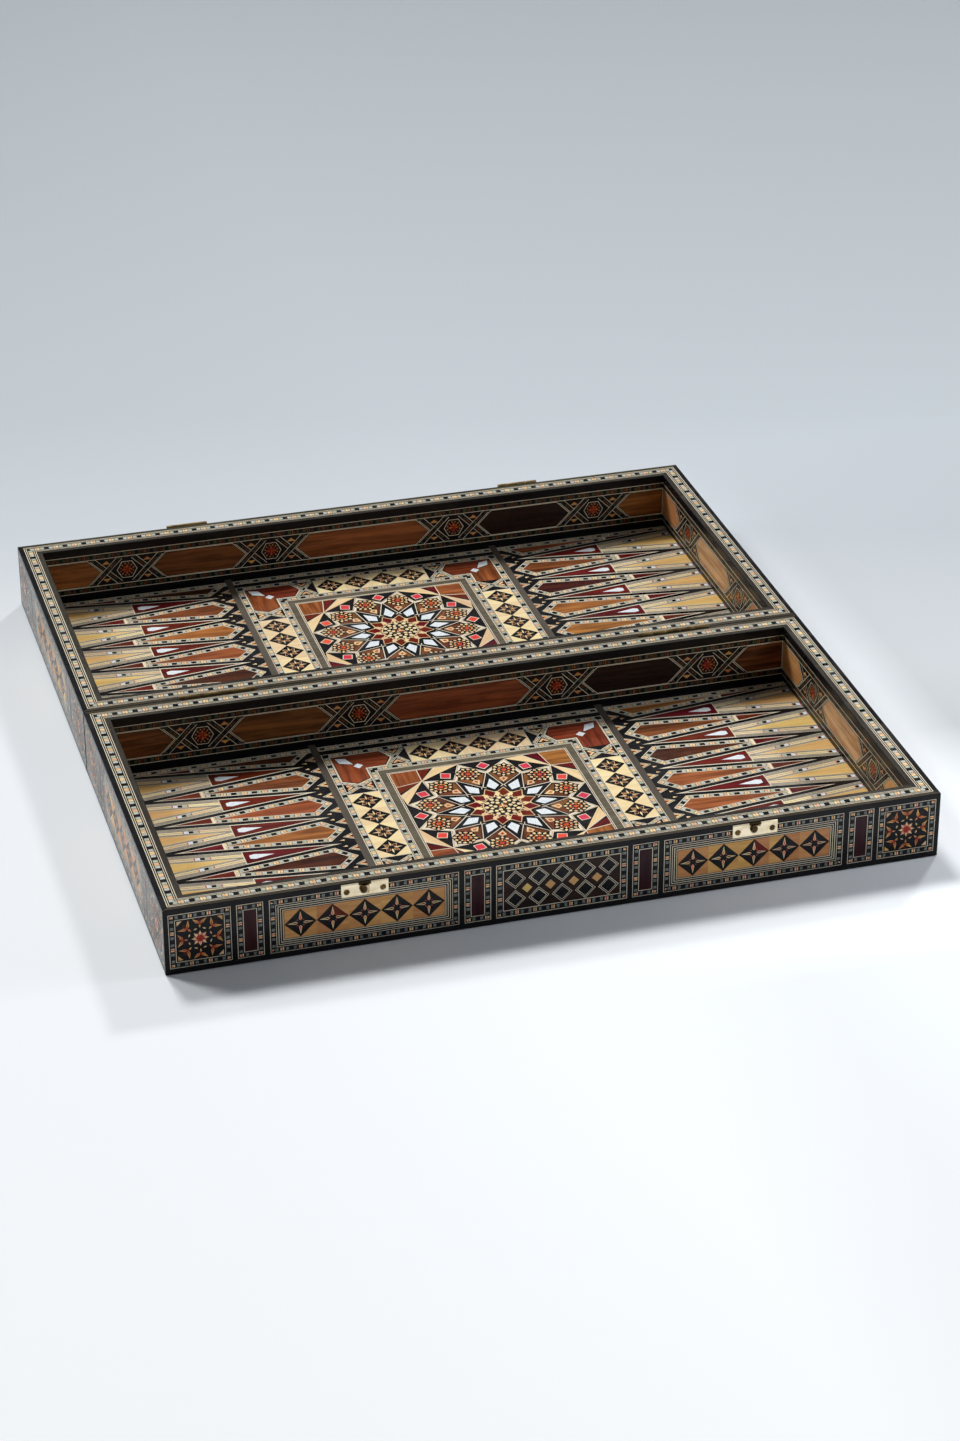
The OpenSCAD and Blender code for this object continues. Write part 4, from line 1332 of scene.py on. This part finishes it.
def screw_pattern():
    """One countersunk screw with a slotted, slightly domed head. Its head faces +Z and its rim lies at 0."""
    bpy.ops.object.select_all(action="DESELECT")
    bpy.ops.mesh.primitive_cylinder_add(vertices=32, radius=HEAD_R * MM, depth=HEAD_DEEP * MM,
                                        location=(0, 0, -HEAD_DEEP / 2 * MM))
    screw = bpy.context.object
    bpy.ops.object.transform_apply(location=True)
    bpy.ops.object.mode_set(mode="EDIT")
    bpy.ops.mesh.select_all(action="DESELECT")
    select_faces(screw, -1)
    bpy.ops.transform.resize(value=(0.5, 0.5, 1))
    bpy.ops.mesh.extrude_region_move(TRANSFORM_OT_translate={"value": (0, 0, -SHANK_LONG * MM)})
    bpy.ops.transform.resize(value=(0.6, 0.6, 1))
    bpy.ops.mesh.select_all(action="DESELECT")
    select_faces(screw, 1)
    bpy.ops.mesh.inset(thickness=HEAD_RIM * MM)
    bpy.ops.transform.translate(value=(0, 0, DOME * MM))
    bpy.ops.object.mode_set(mode="OBJECT")
    bpy.ops.object.select_all(action="DESELECT")
    bpy.ops.mesh.primitive_cube_add(size=1, location=(0, 0, SLOT_MIDDLE * MM))
    slot = bpy.context.object
    slot.dimensions = (SLOT_LONG * MM, SLOT_WIDE * MM, SLOT_TALL * MM)
    bpy.ops.object.transform_apply(scale=True, location=True)
    select_only(screw)
    bpy.ops.object.modifier_add(type="BOOLEAN")
    screw.modifiers[-1].object = slot
    screw.modifiers[-1].operation = "DIFFERENCE"
    bpy.ops.object.modifier_apply(modifier=screw.modifiers[-1].name)
    bpy.data.objects.remove(slot)
    soften(screw, 0.08)
    return screw


def select_faces(piece, facing):
    """Selects the faces of a piece in edit mode that look up, for 1, or down, for -1."""
    bm = bmesh.from_edit_mesh(piece.data)
    bm.normal_update()
    for face in bm.faces:
        if face.normal.z * facing > 0.9:
            face.select_set(True)
    bmesh.update_edit_mesh(piece.data)


def drive_screws(node, body, pattern, places, facing):
    """Copies of the screw at places in millimetres, their heads towards facing, joined to one piece."""
    parts = []
    for place in places:
        part = new_piece(f"{node}_driven", pattern.data.copy())
        turn = Matrix.Rotation(math.radians(chance.uniform(-70, 70)), 4, "Z")
        aim = Vector(facing).to_track_quat("Z", "Y").to_matrix().to_4x4()
        part.data.transform(Matrix.Translation(Vector(place) * MM) @ aim @ turn)
        parts.append(part)
    select_only(*parts)
    bpy.ops.object.join()
    stand_for(parts[0], node, body, SCREW_BRASS)


PLATE_EDGE, LEAF_EDGE, PIN_EDGE = 0.14, 0.12, 0.1       # how far their edges are softened
for node, body, material, width in (
        ("catch_plate_left", "front_tray", CATCH_BRASS, PLATE_EDGE),
        ("catch_plate_right", "front_tray", CATCH_BRASS, PLATE_EDGE),
        ("hasp_plate_left", "back_tray", SHADED_HASP_BRASS, PLATE_EDGE),
        ("hasp_plate_right", "back_tray", SHADED_HASP_BRASS, PLATE_EDGE),
        ("hasp_tongue_left", "left_hasp", SHADED_HASP_BRASS, PLATE_EDGE),
        ("hasp_tongue_right", "right_hasp", SHADED_HASP_BRASS, PLATE_EDGE),
        ("hinge_left_front_leaf", "front_tray", SHADED_HINGE_BRASS, LEAF_EDGE),
        ("hinge_right_front_leaf", "front_tray", SHADED_HINGE_BRASS, LEAF_EDGE),
        ("hinge_left_back_leaf", "back_tray", SHADED_HINGE_BRASS, LEAF_EDGE),
        ("hinge_right_back_leaf", "back_tray", SHADED_HINGE_BRASS, LEAF_EDGE),
        ("hinge_pins", "front_tray", SHADED_HINGE_BRASS, LEAF_EDGE),
        ("hasp_pins", "back_tray", SHADED_HINGE_BRASS, PIN_EDGE)):
    pressed_copy(node, body, material, width)

SCREW_OFF, SCREW_Y, SCREW_Z = 11.4, 258.78, 39.5
SCREW_X = [side * CATCH_X + off for side in (-1, 1) for off in (-SCREW_OFF, SCREW_OFF)]
one_screw = screw_pattern()
for node, body, side in (("catch_screws", "front_tray", -1), ("hasp_screws", "back_tray", 1)):
    drive_screws(node, body, one_screw, [(x, side * SCREW_Y, SCREW_Z) for x in SCREW_X], (0, side, 0))
bpy.data.objects.remove(one_screw)
for node in ("front_hinge_screws", "back_hinge_screws"):
    finish(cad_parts[node], SCREW_BRASS)


# -------- floor, light and background

FLOOR_REACH, FLOOR_Z = 14, -0.0005
# The paper's colours, from near the camera to far behind the box: white paper, and its darkening towards the
# back is painted fall-off of light.
PAPER = ((0.0, (249, 252, 255)), (0.34, (244, 249, 255)), (0.4, (240, 246, 252)), (0.48, (211, 218, 226)),
         (0.56, (200, 208, 216)), (0.66, (196, 204, 212)), (0.85, (188, 196, 204)), (1.0, (180, 187, 195)))


def make_floor():
    """A seamless sweep of paper: white near the camera, growing grey blue far behind the box as painted
    fall-off of light, with painted shade on its left and in front on the right, and the box's painted shadow
    to its right.
    """
    mesh = bpy.data.meshes.new("studio_floor")
    corners = rectangle(-FLOOR_REACH, -FLOOR_REACH, FLOOR_REACH, FLOOR_REACH)
    mesh.from_pydata([(x, y, FLOOR_Z) for x, y in corners], [], [(0, 1, 2, 3)])
    floor = new_piece("studio_floor", mesh)
    material, w, shader = new_material("pale studio paper")
    axes = w.axes(w.place())
    x, y = axes["X"], axes["Y"]
    away = w.math("ADD", w.math("MULTIPLY", y, 0.96), w.math("MULTIPLY", x, 0.27))
    paper = w.ramp(w.spread(away, -1, 1.7), PAPER)
    # Painted shade on the left, the box's painted shadow on the right and painted shade in front on the
    # right, all taken off the paper's colour.
    painted_shade_left = w.math("MULTIPLY", w.spread(x, -0.3, 0.1, 1, 0), w.spread(y, 0, 0.35, 0.03, 0.1))
    shadow_depth = w.math("MINIMUM", w.spread(y, -0.25, -0.1, 0, 0.42), w.spread(y, -0.1, 0.37, 0.42, 0))
    painted_shadow_right = w.math("MULTIPLY", w.spread(x, 0.26, 0.33), shadow_depth)
    painted_shade_front = w.math("MULTIPLY", w.spread(x, 0, 0.12, 0, 0.1), w.spread(y, -0.33, -0.37))
    shade = w.math("SUBTRACT", 1, w.math("ADD", w.math("ADD", painted_shade_left, painted_shadow_right), painted_shade_front))
    w.feed(shader, {"Base Color": w.mix(1, paper, shade, "MULTIPLY"), "Roughness": 0.9,
                    "Specular IOR Level": 0.1})
    mesh.materials.append(material)


def lamp(name, kind, place, target, colour, **settings):
    data = bpy.data.lights.new(name, kind)
    data.color = colour
    for setting, value in settings.items():
        setattr(data, setting, value)
    light = new_piece(name, data)
    light.visible_camera = False
    aim = (Vector(target) - Vector(place)).to_track_quat("-Z", "Y")
    light.matrix_world = Matrix.Translation(place) @ aim.to_matrix().to_4x4()


SKY = (0.9, 0.95, 1, 1)
ALL_ROUND, BACKDROP = 0.1, 0.62         # how strong the world is as light, and where the camera sees it
MIRRORED_LOW, MIRRORED_HIGH = 0.16, 0.6


def make_world():
    """Soft light from all round. Lacquer and metal see a dark room low down and a bright one overhead."""
    world = bpy.data.worlds.new("studio")
    world.use_nodes = True
    w = Wiring(world.node_tree)
    rays = w.node("ShaderNodeLightPath", {}).outputs
    height = w.axes(w.node("ShaderNodeTexCoord", {}).outputs["Generated"])["Z"]
    seen = w.math("ADD", rays["Is Glossy Ray"], rays["Is Camera Ray"])
    diffuse = w.math("MULTIPLY", w.math("SUBTRACT", 1, seen), ALL_ROUND)
    mirrored = w.spread(height, 0.5, 0.85, MIRRORED_LOW, MIRRORED_HIGH)
    glossy = w.math("MULTIPLY", rays["Is Glossy Ray"], mirrored)
    backdrop = w.math("MULTIPLY", rays["Is Camera Ray"], BACKDROP)
    strength = w.math("ADD", w.math("ADD", diffuse, glossy), backdrop)
    w.feed(world.node_tree.nodes["Background"], {"Color": SKY, "Strength": strength})
    bpy.context.scene.world = world


make_floor()
make_world()
WARM, COOL, HERE = (1, 0.99, 0.97), (0.93, 0.96, 1), (0, 0, 0)
for name, place, power, degrees in (("window_left", (-1.3, 1.25, 1.65), 1.15, 14),
                                    ("window_middle", (-0.2, 1.4, 1.85), 1.6, 12),
                                    ("window_right", (1.33, 1.64, 1.39), 0.95, 6)):
    lamp(name, "SUN", place, HERE, WARM, energy=power, angle=math.radians(degrees))
for name, place, target, tone, size, power in (
        ("window_low", (-1.2, 0.75, 0.9), HERE, WARM, 0.4, 2.5),
        ("fill", (1.1, -0.5, 0.45), (0.1, -0.35, 0), COOL, 0.5, 2.1),
        ("fill_near", (0.6, -0.3, 0.4), (0.2, -0.28, 0), COOL, 0.15, 0.8)):
    lamp(name, "AREA", place, target, tone, shape="DISK", size=size, energy=power)
bpy.context.scene.view_settings.view_transform = "Standard"
